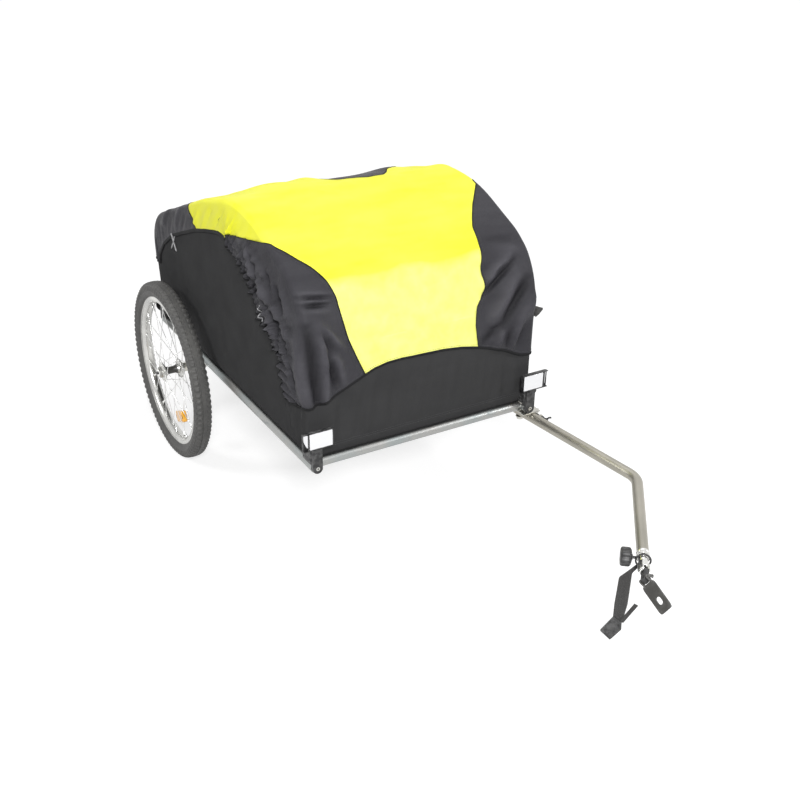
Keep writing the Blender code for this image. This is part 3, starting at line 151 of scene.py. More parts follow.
def rounded_path(corners: tuple, step: float = 3) -> Array:
    """A flat path through corners (u, v, radius): each corner gives way to an arc that touches both its sides.

    Args:
        corners: The corners in order; the ends have no radius.
        step: The turn between two points of an arc, in degrees.

    Returns:
        The path's points, one row each.
    """
    points = [np.array(corners[0][:2])[None]]
    for before, corner, after in zip(corners, corners[1:], corners[2:]):
        tip = np.array(corner[:2])
        back, ahead = unit(np.array(before[:2]) - tip), unit(np.array(after[:2]) - tip)
        turn = math.pi - math.acos(float(back @ ahead))
        centre = tip + unit(back + ahead) * (corner[2] / math.cos(turn / 2))
        arm = tip + back * corner[2] * math.tan(turn / 2) - centre
        side = 1 if back[0] * ahead[1] - back[1] * ahead[0] < 0 else -1
        angle = side * np.linspace(0, turn, max(3, math.ceil(turn / math.radians(step)) + 1))
        cos, sin = np.cos(angle), np.sin(angle)
        points.append(centre + stack(arm[0] * cos - arm[1] * sin, arm[0] * sin + arm[1] * cos))
    points.append(np.array(corners[-1][:2])[None])
    return np.concatenate(points)


def run_lengths(path: Array) -> Array:
    """How far along a path each of its points lies, in metres."""
    return np.concatenate([[0], np.cumsum(np.linalg.norm(np.diff(path, axis=0), axis=1))])


def evenly(path: Array, pitch: float) -> Array:
    """The same path with its points an equal distance apart, about the given pitch."""
    runs = run_lengths(path)
    places = np.linspace(0, runs[-1], max(2, round(runs[-1] / pitch) + 1))
    return read(places, runs, path)


def headings(path: Array) -> Array:
    """The unit direction of a path at each point, from its neighbours."""
    return unit(np.gradient(np.asarray(path, float), axis=0))


def leftward(ways: Array) -> Array:
    """Flat directions turned a quarter to the left."""
    return stack(-ways[..., 1], ways[..., 0])


def frame_at(origin: tuple, x_axis: tuple, y_axis: tuple) -> Array:
    """A four by four placing matrix whose z axis is x cross y."""
    x_way, y_way = unit(x_axis), unit(y_axis)
    matrix = np.eye(4)
    matrix[:3, :3] = np.stack([x_way, y_way, np.cross(x_way, y_way)], -1)
    matrix[:3, 3] = origin
    return matrix


def shifted(x: float, y: float, z: float) -> Array:
    """A matrix that only moves."""
    return np.array(Matrix.Translation((x, y, z)))


def turned(angle: float, axis: str) -> Array:
    """A matrix that only turns about one axis."""
    return np.array(Matrix.Rotation(angle, 4, axis))


def placed(points: Array, matrix: Array) -> Array:
    """Points carried by a four by four matrix."""
    return points @ matrix[:3, :3].T + matrix[:3, 3]


FLAT = frame_at((0, 0, 0), ALONG, UP)
UPRIGHT = frame_at((0, 0, 0), ACROSS, UP)
QUARTER = turned(math.pi / 2, "Z")


def rings(centres: Array, side: Array, lift: Array, sizes: Array, steps: int, flat: float = 1) -> Array:
    """Round or oval sections: centre + r cos(a) side + flat r sin(a) lift, at equal angles a.

    Args:
        centres: The middle of each ring.
        side: The way across each ring.
        lift: The other way across it.
        sizes: One radius, or one for each ring.
        steps: Points round a ring.
        flat: How thick a section is against its width.

    Returns:
        A grid of rings by steps.
    """
    cos, sin = circle(turns(steps)).T[..., None]
    ring = cos * side[..., None, :] + flat * sin * lift[..., None, :]
    return centres[..., None, :] + np.asarray(sizes)[..., None, None] * ring


def swept(path: Array, radius: float | Array, up: tuple, steps: int = 24, flat: float = 1) -> Array:
    """A section carried along a path: side is up cross the heading and lift completes the square, so none twists."""
    ways = headings(path)
    side = unit(np.cross(np.broadcast_to(np.asarray(up, float), ways.shape), ways))
    return rings(path, side, np.cross(ways, side), radius, steps, flat)


def lathed(profile: list, matrix: Array, steps: int = 48) -> Array:
    """A profile (x, r) turned about the matrix's own x axis: the point (x, r cos a, r sin a) at each angle a."""
    x, r = np.asarray(profile, float).T
    cos, sin = circle(turns(steps)).T[..., None]
    return placed(stack(x, r * cos, r * sin), matrix)


def rounded_rectangle(half_u: float, half_v: float, radius: float, steps: int = 5) -> Array:
    """An outline with round corners, counterclockwise."""
    angles = np.linspace(0, math.pi / 2, steps + 1)[None] + np.arange(4)[:, None] * math.pi / 2
    centres = np.array([(1, 1), (-1, 1), (-1, -1), (1, -1)]) * (half_u - radius, half_v - radius)
    return (centres[:, None] + radius * circle(angles)).reshape(-1, 2)


def straight(x: float, y: float, z: float, step: float) -> Array:
    """A level line across the trailer from -x to x, with its points about a step apart."""
    return evenly([(-x, y, z), (x, y, z)], step)


class Form:
    """Collects grids of points and turns them into one object in the row frame."""

    def __init__(self) -> None:
        """Starts with nothing in it."""
        self.points: list = []
        self.faces: list = []
        self.uvs: list = []
        self.rises: list = []
        self.count = 0

    def add_points(self, points: Array) -> Array:
        """Stores points and returns their numbers, in the same grid."""
        numbers = self.count + np.arange(points[..., 0].size).reshape(points.shape[:-1])
        self.points.append(points.reshape(-1, 3))
        self.count += numbers.size
        return numbers

    def grid(self, points: Array, wrap: tuple = (False, False), caps: bool = False,
             away: tuple | None = None) -> Array:
        """Adds one grid, or a stack of them, as quads, with a map in metres measured along its rows and columns.

        Args:
            points: Rows by columns by 3, or a stack of such grids.
            wrap: Whether the rows and the columns close on themselves.
            caps: Whether the first and last rows are closed with a flat face.
            away: A point inside, that the faces look away from. An open sheet needs it.

        Returns:
            The numbers of the points.
        """
        if points.ndim == 4:
            return np.array([self.grid(each, wrap, caps, away) for each in points])
        rows, columns = points.shape[:2]
        numbers = self.add_points(points)
        row = np.arange(rows if wrap[0] else rows - 1)[:, None]
        column = np.arange(columns if wrap[1] else columns - 1)[None]
        spots = [(row, column), (row + 1, column), (row + 1, column + 1), (row, column + 1)]
        quads = np.stack([numbers[r % rows, c % columns] for r, c in spots], -1)
        closed = np.concatenate([points, points[:1]]) if wrap[0] else points
        closed = np.concatenate([closed, closed[:, :1]], 1) if wrap[1] else closed
        u = np.cumsum(np.linalg.norm(np.diff(closed, axis=1, prepend=closed[:, :1]), axis=-1), 1)
        v = np.cumsum(np.linalg.norm(np.diff(closed, axis=0, prepend=closed[:1]), axis=-1), 0)
        uv = np.stack([u, v], -1)
        marks = np.stack([uv[r, c] for r, c in spots], -2)
        if away is not None:
            corner = points[row % rows, column % columns]
            across = points[row % rows, (column + 1) % columns] - corner
            down = points[(row + 1) % rows, column % columns] - corner
            if np.sum(np.cross(down, across) * (corner - np.asarray(away))) < 0:
                quads, marks = quads[..., ::-1], marks[..., ::-1, :]
        self.faces.extend(quads.reshape(-1, 4).tolist())
        self.uvs.append(marks.reshape(-1, 2))
        if caps:
            self.cap(points[0], numbers[0])
            self.cap(points[-1][::-1], numbers[-1][::-1])
        return numbers

    def cap(self, ring: Array, numbers: Array) -> None:
        """Closes a ring with one flat face, mapped in metres across its own plane."""
        middle = ring.mean(0)
        normal = unit(np.cross(ring - middle, np.roll(ring, -1, 0) - middle).sum(0))
        first = unit(ring[0] - middle)
        self.faces.append(numbers.tolist())
        self.uvs.append(stack((ring - middle) @ first, (ring - middle) @ np.cross(normal, first)))

    def triangles(self, points: Array, corners: Array, uv: Array, rise: Array) -> None:
        """Adds loose triangles over shared points, with how far each point stands out from its surroundings."""
        used, corners = np.unique(corners, return_inverse=True)
        corners = corners.reshape(-1, 3)
        self.faces.extend(self.add_points(points[used])[corners].tolist())
        self.uvs.append(uv[used][corners].reshape(-1, 2))
        self.rises.append(rise[used][corners].ravel())

    def prism(self, outline: Array, low: float, high: float, matrix: Array) -> None:
        """A flat outline (x, y) raised from low to high along z, closed at both ends."""
        x, y = np.asarray(outline, float).T
        self.grid(placed(np.stack([stack(x, y, low), stack(x, y, high)]), matrix), (False, True), caps=True)

    def block(self, shape: tuple, spot: tuple, low: float, high: float, matrix: Array) -> None:
        """A prism over a rounded rectangle (half u, half v, radius, steps) whose middle is at the spot."""
        self.prism(rounded_rectangle(*shape) + spot, low, high, matrix)

    def lathe(self, profile: list, matrix: Array, steps: int = 48, hollow: bool = False) -> None:
        """A turned shape; a hollow one's profile closes on itself."""
        self.grid(lathed(profile, matrix, steps), (True, hollow))

    def rod(self, path: Array, radius: float | Array, up: tuple, steps: int, flat: float = 1,
            matrix: Array = np.eye(4)) -> None:
        """A solid section carried along a path and closed at both ends."""
        self.grid(placed(swept(path, radius, up, steps, flat), matrix), (False, True), caps=True)

    def tube(self, path: Array, outer: float, inner: float, up: tuple, steps: int) -> None:
        """A hollow tube: its outer rings, then its inner rings backwards, closed into one loop."""
        self.grid(np.concatenate([swept(path, outer, up, steps), swept(path, inner, up, steps)[::-1]]), (True, True))

    def stitches(self, points: Array, normals: Array, pitch: float = 0.0045, long: float = 0.003,
                 radius: float = 0.0004) -> None:
        """Lays short threads along a seam: every stitch is a six-sided bar that dips into the cloth at its ends.

        Args:
            points: The seam's line.
            normals: The cloth's normal at each point of it.
            pitch: The distance from one stitch to the next.
            long: The length of a stitch.
            radius: The thread's radius.
        """
        runs = run_lengths(points)
        places = np.arange(pitch, runs[-1] - pitch, pitch)[:, None] + np.array([0, 0.25, 0.75, 1]) * long
        normal = unit(read(places, runs, normals))
        centre = read(places, runs, points) + normal * (np.array([-0.6, 0.5, 0.5, -0.6]) * radius)[:, None]
        side = np.cross(unit(centre[:, -1] - centre[:, 0])[:, None], normal)
        self.grid(rings(centre, side, normal, radius, 6), (False, True), caps=True)

    def piece(self, name: str, look: object, nodes: str = "", body: str = "chassis", slot: str = "",
              closed: bool = True, sharp: float = 32, bevel: float = 0, thickness: float = 0) -> bpy.types.Object:
        """Makes the object, moves it to its place in the row frame and hangs it on its body.

        Args:
            name: Its name.
            look: Its finish.
            nodes: The nodes it stands for.
            body: The body it rides on.
            slot: Its material slot, if not the finish's own; not used.
            closed: Whether its normals can be worked out afresh, as its shells are closed.
            sharp: Degrees past which an edge stays sharp.
            bevel: How far sharp edges are rounded.
            thickness: How thick a sheet is, inwards.

        Returns:
            The object.
        """
        mesh = bpy.data.meshes.new(name)
        mesh.from_pydata((np.concatenate(self.points) + SHIFT).tolist(), [], self.faces)
        mesh.uv_layers.new(name="metres").data.foreach_set("uv", np.concatenate(self.uvs).ravel())
        if self.rises:
            mesh.attributes.new("rise", "FLOAT", "CORNER").data.foreach_set("value", np.concatenate(self.rises))
        work = bmesh.new()
        work.from_mesh(mesh)
        bmesh.ops.remove_doubles(work, verts=work.verts, dist=2e-6)
        bmesh.ops.dissolve_degenerate(work, edges=work.edges, dist=1e-7)
        if closed:
            bmesh.ops.recalc_face_normals(work, faces=work.faces)
        work.to_mesh(mesh)
        work.free()
        mesh.shade_smooth()
        mesh.set_sharp_from_angle(angle=math.radians(sharp))
        mesh.materials.append(look.material())
        item = bpy.data.objects.new(name, mesh)
        bpy.context.scene.collection.objects.link(item)
        if thickness:
            wall = item.modifiers.new("wall", "SOLIDIFY")
            wall.thickness, wall.offset = thickness, -1
        if bevel:
            edge = item.modifiers.new("edge", "BEVEL")
            edge.width, edge.segments, edge.limit_method = bevel, 2, "ANGLE"
            edge.angle_limit = math.radians(sharp)
            edge.use_clamp_overlap = True
        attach(item, body)
        if nodes:
            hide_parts(*nodes.split())
        slot or look.slot
        LOG.info("%s: %d faces on %s", name, len(mesh.polygons), body)
        return item


@dataclass(frozen=True)
class Fold:
    """One soft fold in cloth: a ridge, or a valley where the height is negative."""

    start: tuple
    end: tuple
    width: float
    height: float
    depth: float = 1

    @classmethod
    def of(cls, row: tuple) -> "Fold":
        """A fold from its start, end, width and height in millimetres, and its depth."""
        return cls(*mm(row[:3], row[3:6]), *mm(row[6:8])[0], *row[8:])

    def lift(self, points: Array) -> Array:
        """How far each point rises: the height times a bell of its distance from the line, fading at both ends.

        The distance along y counts by the depth, so that a fold can follow a leaning front.
        """
        start, span = np.array(self.start), np.array(self.end) - np.array(self.start)
        share = np.clip((points - start) @ span / (span @ span), 0, 1)
        away = np.linalg.norm((points - (start + share[..., None] * span)) * (1, self.depth, 1), axis=-1)
        return self.height * bell(away, self.width) * np.sin(math.pi * (0.12 + 0.76 * share))


class Recipe:
    """A material's or a world's node tree, put together one node at a time."""

    def __init__(self, made: bpy.types.ID) -> None:
        """Empties the tree of what it is given."""
        self.made = made
        made.use_nodes = True
        self.tree = made.node_tree
        self.tree.nodes.clear()

    def node(self, kind: str, settings: dict | None = None, **inputs: object) -> bpy.types.Node:
        """Adds a node, sets its fields and links or fills its inputs.

        Args:
            kind: The node's type, without its common start.
            settings: Fields of the node itself.
            **inputs: Input names with underscores for spaces, or i and a number.

        Returns:
            The node.
        """
        node = self.tree.nodes.new("ShaderNode" + kind)
        for key, value in (settings or {}).items():
            setattr(node, key, value)
        for key, value in inputs.items():
            socket = node.inputs[int(key[1:]) if key[1:].isdigit() else key.replace("_", " ")]
            if isinstance(value, Socket):
                self.tree.links.new(value, socket)
            else:
                socket.default_value = value + (1,) if socket.type == "RGBA" else value
        return node

    def place(self, kind: str = "Object") -> Socket:
        """The object's own coordinates, or its map in metres."""
        return self.node("TexCoord").outputs[kind]

    def axes(self, kind: str = "Object") -> list:
        """The three parts of a place."""
        return self.node("SeparateXYZ", i0=self.place(kind)).outputs[:3]

    def math(self, operation: str, first: object, second: object = 0) -> Socket:
        """One step of arithmetic."""
        return self.node("Math", {"operation": operation}, i0=first, i1=second).outputs[0]

    def noise(self, scale: float, detail: float = 3, stretch: tuple | None = None,
              kind: str = "Object") -> Socket:
        """Noise over the object, or over the map in metres, stretched where that is asked."""
        place = self.place(kind)
        if stretch:
            place = self.node("Mapping", Vector=place, Scale=stretch).outputs[0]
        return self.node("TexNoise", Vector=place, Scale=scale, Detail=detail, Roughness=0.55).outputs[0]

    def span(self, value: object, low: float, high: float, to_low: float, to_high: float) -> Socket:
        """A value carried from one range to another and held inside it."""
        return self.node("MapRange", i0=value, i1=low, i2=high, i3=to_low, i4=to_high).outputs[0]

    def patches(self, scale: float, detail: float, low: float, high: float, to_low: float = 0, to_high: float = 1,
                stretch: tuple | None = None) -> Socket:
        """Noise carried to another range, which leaves patches."""
        return self.span(self.noise(scale, detail, stretch), low, high, to_low, to_high)

    def uneven(self, scale: float, middle: float, less: float, more: float) -> Socket:
        """A roughness that wanders round its middle."""
        return self.patches(scale, 3, 0.3, 0.7, middle - less, middle + more)

    def blend(self, share: object, first: object, second: object) -> Socket:
        """A mix of two colours."""
        return self.node("Mix", {"data_type": "RGBA"}, i0=share, i6=first, i7=second).outputs[2]

    def bump(self, height: object, depth: float, strength: float = 1, under: object = None) -> Socket:
        """A bump of the given depth in metres, on top of another one if there is one."""
        inputs = {"Height": height, "Distance": depth, "Strength": strength}
        if under is not None:
            inputs["Normal"] = under
        return self.node("Bump", **inputs).outputs[0]

    def wave(self, along: object, pitch: float) -> Socket:
        """A sine along one part of a place."""
        return self.math("SINE", self.math("MULTIPLY", along, math.tau / pitch))

    def weave(self, pitch: float) -> Socket:
        """A plain weave over the map in metres: sin(u) times sin(v), both at the thread pitch."""
        u, v, _ = self.axes("UV")
        return self.math("MULTIPLY", self.wave(u, pitch), self.wave(v, pitch))

    def wear(self, amount: float) -> Socket:
        """How worn an edge is: the surface's pointiness, broken up by noise."""
        edge = self.span(self.node("NewGeometry").outputs["Pointiness"], 0.515, 0.6, 0, amount)
        return self.math("MULTIPLY", edge, self.patches(90, 4, 0.4, 0.65))

    def seen(self) -> Socket:
        """One where the camera looks, straight, by a mirror or through glass, and nought for other light."""
        path = self.node("LightPath").outputs
        either = self.math("MAXIMUM", path["Is Camera Ray"], path["Is Glossy Ray"])
        return self.math("MAXIMUM", either, path["Is Transmission Ray"])

    def finish(self, **shader: object) -> Material:
        """Adds the shader and the output."""
        self.node("OutputMaterial", Surface=self.node("BsdfPrincipled", **shader).outputs[0])
        return self.made


MADE: dict = {}


@dataclass(frozen=True)
class Finish:
    """A finish makes its material once and then hands out the same one."""

    name: str
    slot: str
    colour: tuple

    def material(self) -> Material:
        """The material of this finish."""
        if self not in MADE:
            MADE[self] = self.build(Recipe(bpy.data.materials.new(self.name)))
        return MADE[self]


def shade(colour: tuple, factor: float) -> tuple:
    """A colour made lighter or darker."""
    return tuple(min(1, part * factor) for part in colour)


@dataclass(frozen=True)
class Fabric(Finish):
    """Coated woven nylon: a fine weave, crinkles, and slow shifts of colour and gloss; where asked, a painted sheen on
    the front slope and painted shade and highlight on the folds.
    """

    dusty: tuple
    roughness: float = 0.7
    pitch: float = 0.0012
    crinkle: float = 0.0012
    sheen: float = 0.04
    gloss: float = 0.3
    bleached: tuple | None = None
    painted_sheen_from: float = 0.045
    painted_fold_light: float = 0

    def build(self, recipe: Recipe) -> Material:
        """Weave bump on the map, crinkle bump and colour from noise, with a painted sheen and painted fold shade and
        highlight where asked.
        """
        weave = recipe.bump(recipe.weave(self.pitch), 0.00012, 0.6)
        fine = recipe.bump(recipe.noise(140, 4, (1, 1, 0.6)), self.crinkle * 0.35, 0.6, weave)
        broad = recipe.bump(recipe.noise(26), self.crinkle, 0.7, fine)
        tone = recipe.blend(recipe.patches(9, 4, 0.35, 0.7, stretch=(0.5, 1.6, 1.6)), self.colour, self.dusty)
        # Painted sheen: in front of the crease the colour is painted paler, standing in for the glare of the front
        # light.
        if self.bleached:
            tone = recipe.blend(self.slope(recipe), tone, self.bleached)
        thread = recipe.span(recipe.weave(self.pitch), -1, 1, 0, 0.12)
        colour = recipe.blend(thread, tone, shade(self.colour, 0.72))
        worn = recipe.blend(recipe.wear(0.35), colour, shade(self.dusty, 1.5))
        # Painted shade and highlight: the colour is scaled down in fold valleys and up on fold crests, by each point's
        # rise.
        if self.painted_fold_light:
            rise = recipe.node("Attribute", {"attribute_name": "rise"}).outputs["Fac"]
            painted_fold_shade = recipe.span(rise, -1, 1, 1 - self.painted_fold_light, 1 + self.painted_fold_light)
            worn = recipe.node("VectorMath", {"operation": "SCALE"}, i0=worn, i3=painted_fold_shade).outputs[0]
        return recipe.finish(Base_Color=worn, Roughness=recipe.uneven(18, self.roughness, 0.07, 0.07), Normal=broad,
                             Sheen_Weight=self.sheen, Sheen_Roughness=0.45, Specular_IOR_Level=self.gloss)

    def slope(self, recipe: Recipe) -> Socket:
        """How much painted sheen the cloth gets: a paler colour standing in for the front light's glare, nearly full in
        front of the crease, with a mottled patchiness.
        """
        y = recipe.math("ADD", recipe.axes()[1], recipe.patches(16, 4, 0.3, 0.7, -0.004, 0.004))
        edge = float(self.painted_sheen_from + SHIFT[1])
        ahead = recipe.span(y, edge + 0.004, edge - 0.01, 0, 1)
        return recipe.math("MULTIPLY", ahead, recipe.patches(30, 5, 0.3, 0.72, 1, 0.62))


@dataclass(frozen=True)
class Webbing(Finish):
    """Ribbed webbing: cross ribs over the map's length and a herringbone of threads."""

    pitch: float = 0.0018

    def build(self, recipe: Recipe) -> Material:
        """Rib bump across the strap, with lint in the colour."""
        rib = recipe.wave(recipe.axes("UV")[1], self.pitch)
        normal = recipe.bump(recipe.weave(0.0009), 0.0001, 0.6, recipe.bump(rib, 0.00018, 0.8))
        colour = recipe.blend(recipe.patches(240, 4, 0.5, 0.75, 0, 0.5), self.colour, shade(self.colour, 2.2))
        return recipe.finish(Base_Color=colour, Roughness=0.8, Normal=normal, Sheen_Weight=0.2,
                             Specular_IOR_Level=0.3)


@dataclass(frozen=True)
class Metal(Finish):
    """Bare metal with draw lines along it, soft blotches and small scratches."""

    tint: tuple
    roughness: float = 0.3
    lines: float = 0.5
    mapped: bool = True

    def build(self, recipe: Recipe) -> Material:
        """Draw lines follow the map's length on swept pieces and the object's own axes elsewhere."""
        stretch, kind = ((900, 9, 1), "UV") if self.mapped else ((420, 420, 60), "Object")
        lines = recipe.noise(1, 3, stretch, kind)
        scratch = recipe.patches(55, 6, 0.62, 0.7, stretch=(1, 0.25, 1))
        normal = recipe.bump(lines, 0.00005, self.lines, recipe.bump(scratch, -0.00006, 0.5))
        tone = recipe.blend(recipe.patches(11, 4, 0.35, 0.68), self.colour, self.tint)
        dull = recipe.blend(scratch, tone, shade(self.colour, 0.8))
        rough = recipe.math("ADD", recipe.span(lines, 0.3, 0.7, self.roughness - 0.06, self.roughness + 0.08),
                            recipe.math("MULTIPLY", scratch, 0.12))
        return recipe.finish(Base_Color=dull, Metallic=1, Roughness=rough, Normal=normal)


@dataclass(frozen=True)
class Plastic(Finish):
    """Moulded or painted black: a fine grain, paler worn edges and a little dust."""

    roughness: float = 0.42
    grain: float = 0.00008
    wear: float = 0.6

    def build(self, recipe: Recipe) -> Material:
        """Grain bump, edge wear by pointiness and dust by noise."""
        normal = recipe.bump(recipe.noise(1600, 2), self.grain, 0.5, recipe.bump(recipe.noise(60), 0.0003, 0.25))
        dusty = recipe.blend(recipe.patches(35, 4, 0.45, 0.75, 0, 0.5), self.colour, shade(self.colour, 2.4))
        worn = recipe.blend(recipe.wear(self.wear), dusty, (0.22, 0.22, 0.22))
        return recipe.finish(Base_Color=worn, Roughness=recipe.uneven(80, self.roughness, 0.08, 0.1), Normal=normal,
                             Specular_IOR_Level=0.45)


@dataclass(frozen=True)
class Rubber(Finish):
    """Tyre rubber: matt, slightly brown, with road dust on the knobs and in the grooves."""

    dust: tuple

    def build(self, recipe: Recipe) -> Material:
        """Fine pitting and dust patches."""
        pits = recipe.bump(recipe.noise(900), 0.00012, 0.6, recipe.bump(recipe.noise(70), 0.0004, 0.4))
        colour = recipe.blend(recipe.patches(24, 5, 0.42, 0.72, 0, 0.75), self.colour, self.dust)
        edge = recipe.blend(recipe.wear(0.5), colour, shade(self.dust, 1.8))
        return recipe.finish(Base_Color=edge, Roughness=recipe.uneven(200, 0.58, 0.08, 0.08), Normal=pits,
                             Specular_IOR_Level=0.4)


@dataclass(frozen=True)
class Lens(Finish):
    """A moulded reflector: small pyramids behind a glossy skin."""

    deep: tuple
    cell: float = 0.0028

    def build(self, recipe: Recipe) -> Material:
        """Cells by a Voronoi pattern on the object, under a clear coat."""
        cells = recipe.node("TexVoronoi", Vector=recipe.place(), Scale=1 / self.cell, Randomness=0).outputs[0]
        tone = recipe.blend(recipe.span(cells, 0.25, 0.7, 0, 0.45), self.colour, self.deep)
        smudge = recipe.blend(recipe.patches(45, 3, 0.5, 0.8, 0, 0.2), tone, self.deep)
        return recipe.finish(Base_Color=smudge, Roughness=recipe.uneven(120, 0.21, 0.05, 0.05),
                             Normal=recipe.bump(cells, 0.0003, 0.4), Coat_Weight=0.8, Coat_Roughness=0.06)


# The black cloth's folds carry painted shade in their valleys and a painted highlight on their crests.
BLACK_CLOTH = Fabric("black_cloth", "black_fabric", (0.034, 0.033, 0.038), (0.05, 0.049, 0.055), 0.42, crinkle=0.003,
                     gloss=0.08, sheen=0, painted_fold_light=0.54)
WALL_CLOTH = Fabric("black_wall_cloth", "black_fabric", (0.042, 0.042, 0.043), (0.048, 0.048, 0.049), 0.8,
                    crinkle=0.0006, gloss=0.04, sheen=0)
# The yellow cloth's paler second colour is a painted sheen for the front slope.
YELLOW_CLOTH = Fabric("yellow_cloth", "yellow_fabric", (0.93, 0.93, 0.028), (0.95, 0.95, 0.075), 0.55, crinkle=0.0014,
                      bleached=(0.93, 0.94, 0.28))
BINDING = Fabric("black_binding", "black_fabric", (0.009, 0.009, 0.0095), (0.014, 0.014, 0.015), 0.72, 0.0008, 0.0004,
                 gloss=0.15, sheen=0)
THREAD = Fabric("black_thread", "black_fabric", (0.04, 0.04, 0.042), (0.06, 0.06, 0.062), 0.6, 0.0005, 0.0002)
STRAP = Webbing("black_webbing", "black_webbing", (0.04, 0.039, 0.038))
ALLOY = Metal("brushed_tube", "brushed_alloy", (0.31, 0.335, 0.335), (0.37, 0.36, 0.345), 0.38)
ARM_ALLOY = Metal("warm_tube", "brushed_alloy", (0.35, 0.335, 0.29), (0.41, 0.39, 0.34), 0.42)
RIM_ALLOY = Metal("polished_rim", "chrome", (0.66, 0.655, 0.63), (0.44, 0.44, 0.425), 0.24, 0.6)
SPOKE_WIRE = Metal("spoke_wire", "chrome", (0.72, 0.72, 0.71), (0.8, 0.8, 0.79), 0.3, 0.2)
ZINC = Metal("zinc_plate", "zinc_steel", (0.5, 0.505, 0.49), (0.58, 0.56, 0.5), 0.34, 0.5, False)
BRIGHT = Metal("bright_fitting", "chrome", (0.82, 0.82, 0.8), (0.7, 0.7, 0.66), 0.24, 0.3, False)
BLACK_STEEL = Plastic("black_steel", "black_steel", (0.034, 0.033, 0.03), 0.4, 0.00005, 0.8)
BLACK_PLASTIC = Plastic("black_plastic", "black_plastic", (0.011, 0.011, 0.0115))
FLOOR_BOARD = Plastic("floor_board", "black_plastic", (0.014, 0.014, 0.0145), 0.6, 0.0002)
TYRE = Rubber("tyre_rubber", "tyre_rubber", (0.072, 0.071, 0.069), (0.105, 0.103, 0.098))
WHITE_LENS = Lens("white_lens", "white_lens", (0.82, 0.82, 0.83), (0.66, 0.68, 0.71))
AMBER_LENS = Lens("amber_lens", "amber_lens", (1, 0.52, 0.05), (0.9, 0.36, 0.02))
RED_LENS = Lens("red_lens", "red_lens", (0.6, 0.015, 0.012), (0.3, 0.005, 0.005))
ELASTIC = Webbing("grey_elastic", "chrome", (0.42, 0.42, 0.43), 0.0009)

LOW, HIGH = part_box("base_frame")
SHIFT = (np.array(LOW) + np.array(HIGH)) / 2 - (0, FRAME_LENGTH / 2, RAIL_Z)


@dataclass
class Studio:
    """The camera at the photograph's angle, a pale floor and soft lamps."""

    eye: tuple = (-1.21284, -1.92931, 1.58422)
    yaw: float = 0.5376931
    pitch: float = 0.4804286
    roll: float = 0.010916
    lens: float = 49.2612
    floor_half: float = 14
    sky: float = 0.13
    glow: float = 0.72

    def build(self) -> None:
        """Makes the camera, the floor, the lamps and the world."""
        self.camera()
        self.floor()
        self.lamps()
        self.world()
        bpy.context.scene.view_settings.view_transform = "Standard"

    def camera(self) -> None:
        """The camera looks along its yaw and pitch, and leans by its roll."""
        ahead = np.array([math.sin(self.yaw) * math.cos(self.pitch), math.cos(self.yaw) * math.cos(self.pitch),
                          -math.sin(self.pitch)])
        right = np.array([math.cos(self.yaw), -math.sin(self.yaw), 0])
        up = np.cross(right, ahead)
        cos, sin = math.cos(self.roll), math.sin(self.roll)
        matrix = frame_at(np.array(self.eye) + SHIFT, cos * right + sin * up, cos * up - sin * right)
        data = bpy.data.cameras.new("camera")
        data.lens, data.sensor_width, data.clip_start, data.clip_end = self.lens, 36, 0.05, 60
        camera = bpy.data.objects.new("camera", data)
        camera.matrix_world = Matrix(matrix.tolist())
        bpy.context.scene.collection.objects.link(camera)
        bpy.context.scene.camera = camera

    def floor(self) -> None:
        """A pale floor whose colour is lifted for the camera alone, and which keeps the shadow."""
        mesh = bpy.data.meshes.new("floor")
        half = self.floor_half
        mesh.from_pydata([(-half, -half, 0), (half, -half, 0), (half, half, 0), (-half, half, 0)], [], [(0, 1, 2, 3)])
        recipe = Recipe(bpy.data.materials.new("pale_floor"))
        x, y, _ = recipe.axes()
        away = recipe.math("SQRT", recipe.math("ADD", recipe.math("MULTIPLY", x, x), recipe.math("MULTIPLY", y, y)))
        strength = recipe.math("MULTIPLY", recipe.seen(), recipe.span(away, 0.9, 4, self.glow, 0.95))
        glow = recipe.node("Emission", Color=(1, 1, 1), Strength=strength)
        tone = recipe.blend(recipe.noise(3), (0.42, 0.42, 0.42), (0.45, 0.45, 0.45))
        cloth = recipe.node("BsdfDiffuse", Color=tone)
        both = recipe.node("AddShader", i0=cloth.outputs[0], i1=glow.outputs[0])
        recipe.node("OutputMaterial", Surface=both.outputs[0])
        mesh.materials.append(recipe.made)
        item = bpy.data.objects.new("floor", mesh)
        item.location.z = -0.0005
        bpy.context.scene.collection.objects.link(item)

    def lamps(self) -> None:
        """Four large soft lamps: overhead, the main one from the front and left, and two fills from the sides."""
        for name, place, target, size, power in (("overhead", (0.4, 0.2, 3.2), (0, 0.3, 0.4), 1, 31),
                                                 ("main", (-1.5, -3, 2.5), (0, 0, 0.45), 0.7, 146),
                                                 ("right", (2.6, -2, 2.2), (0, 0.2, 0.45), 0.9, 38),
                                                 ("side", (-3, 1, 2.4), (0, 0.3, 0.4), 0.9, 38)):
            data = bpy.data.lights.new(name, "AREA")
            data.shape, data.size, data.energy = "DISK", size, power
            lamp = bpy.data.objects.new(name, data)
            lamp.location = np.array(place) + SHIFT
            lamp.rotation_mode = "QUATERNION"
            lamp.rotation_quaternion = (Vector(target) - Vector(place)).to_track_quat("-Z", "Y")
            bpy.context.scene.collection.objects.link(lamp)

    def world(self) -> None:
        """White where the camera and polished metal look, and a plain grey light everywhere else."""
        recipe = Recipe(bpy.data.worlds.new("studio"))
        strength = recipe.span(recipe.seen(), 0, 1, self.sky, 1)
        sky = recipe.node("Background", Color=(1, 1, 1), Strength=strength)
        recipe.node("OutputWorld", Surface=sky.outputs[0])
        bpy.context.scene.world = recipe.made


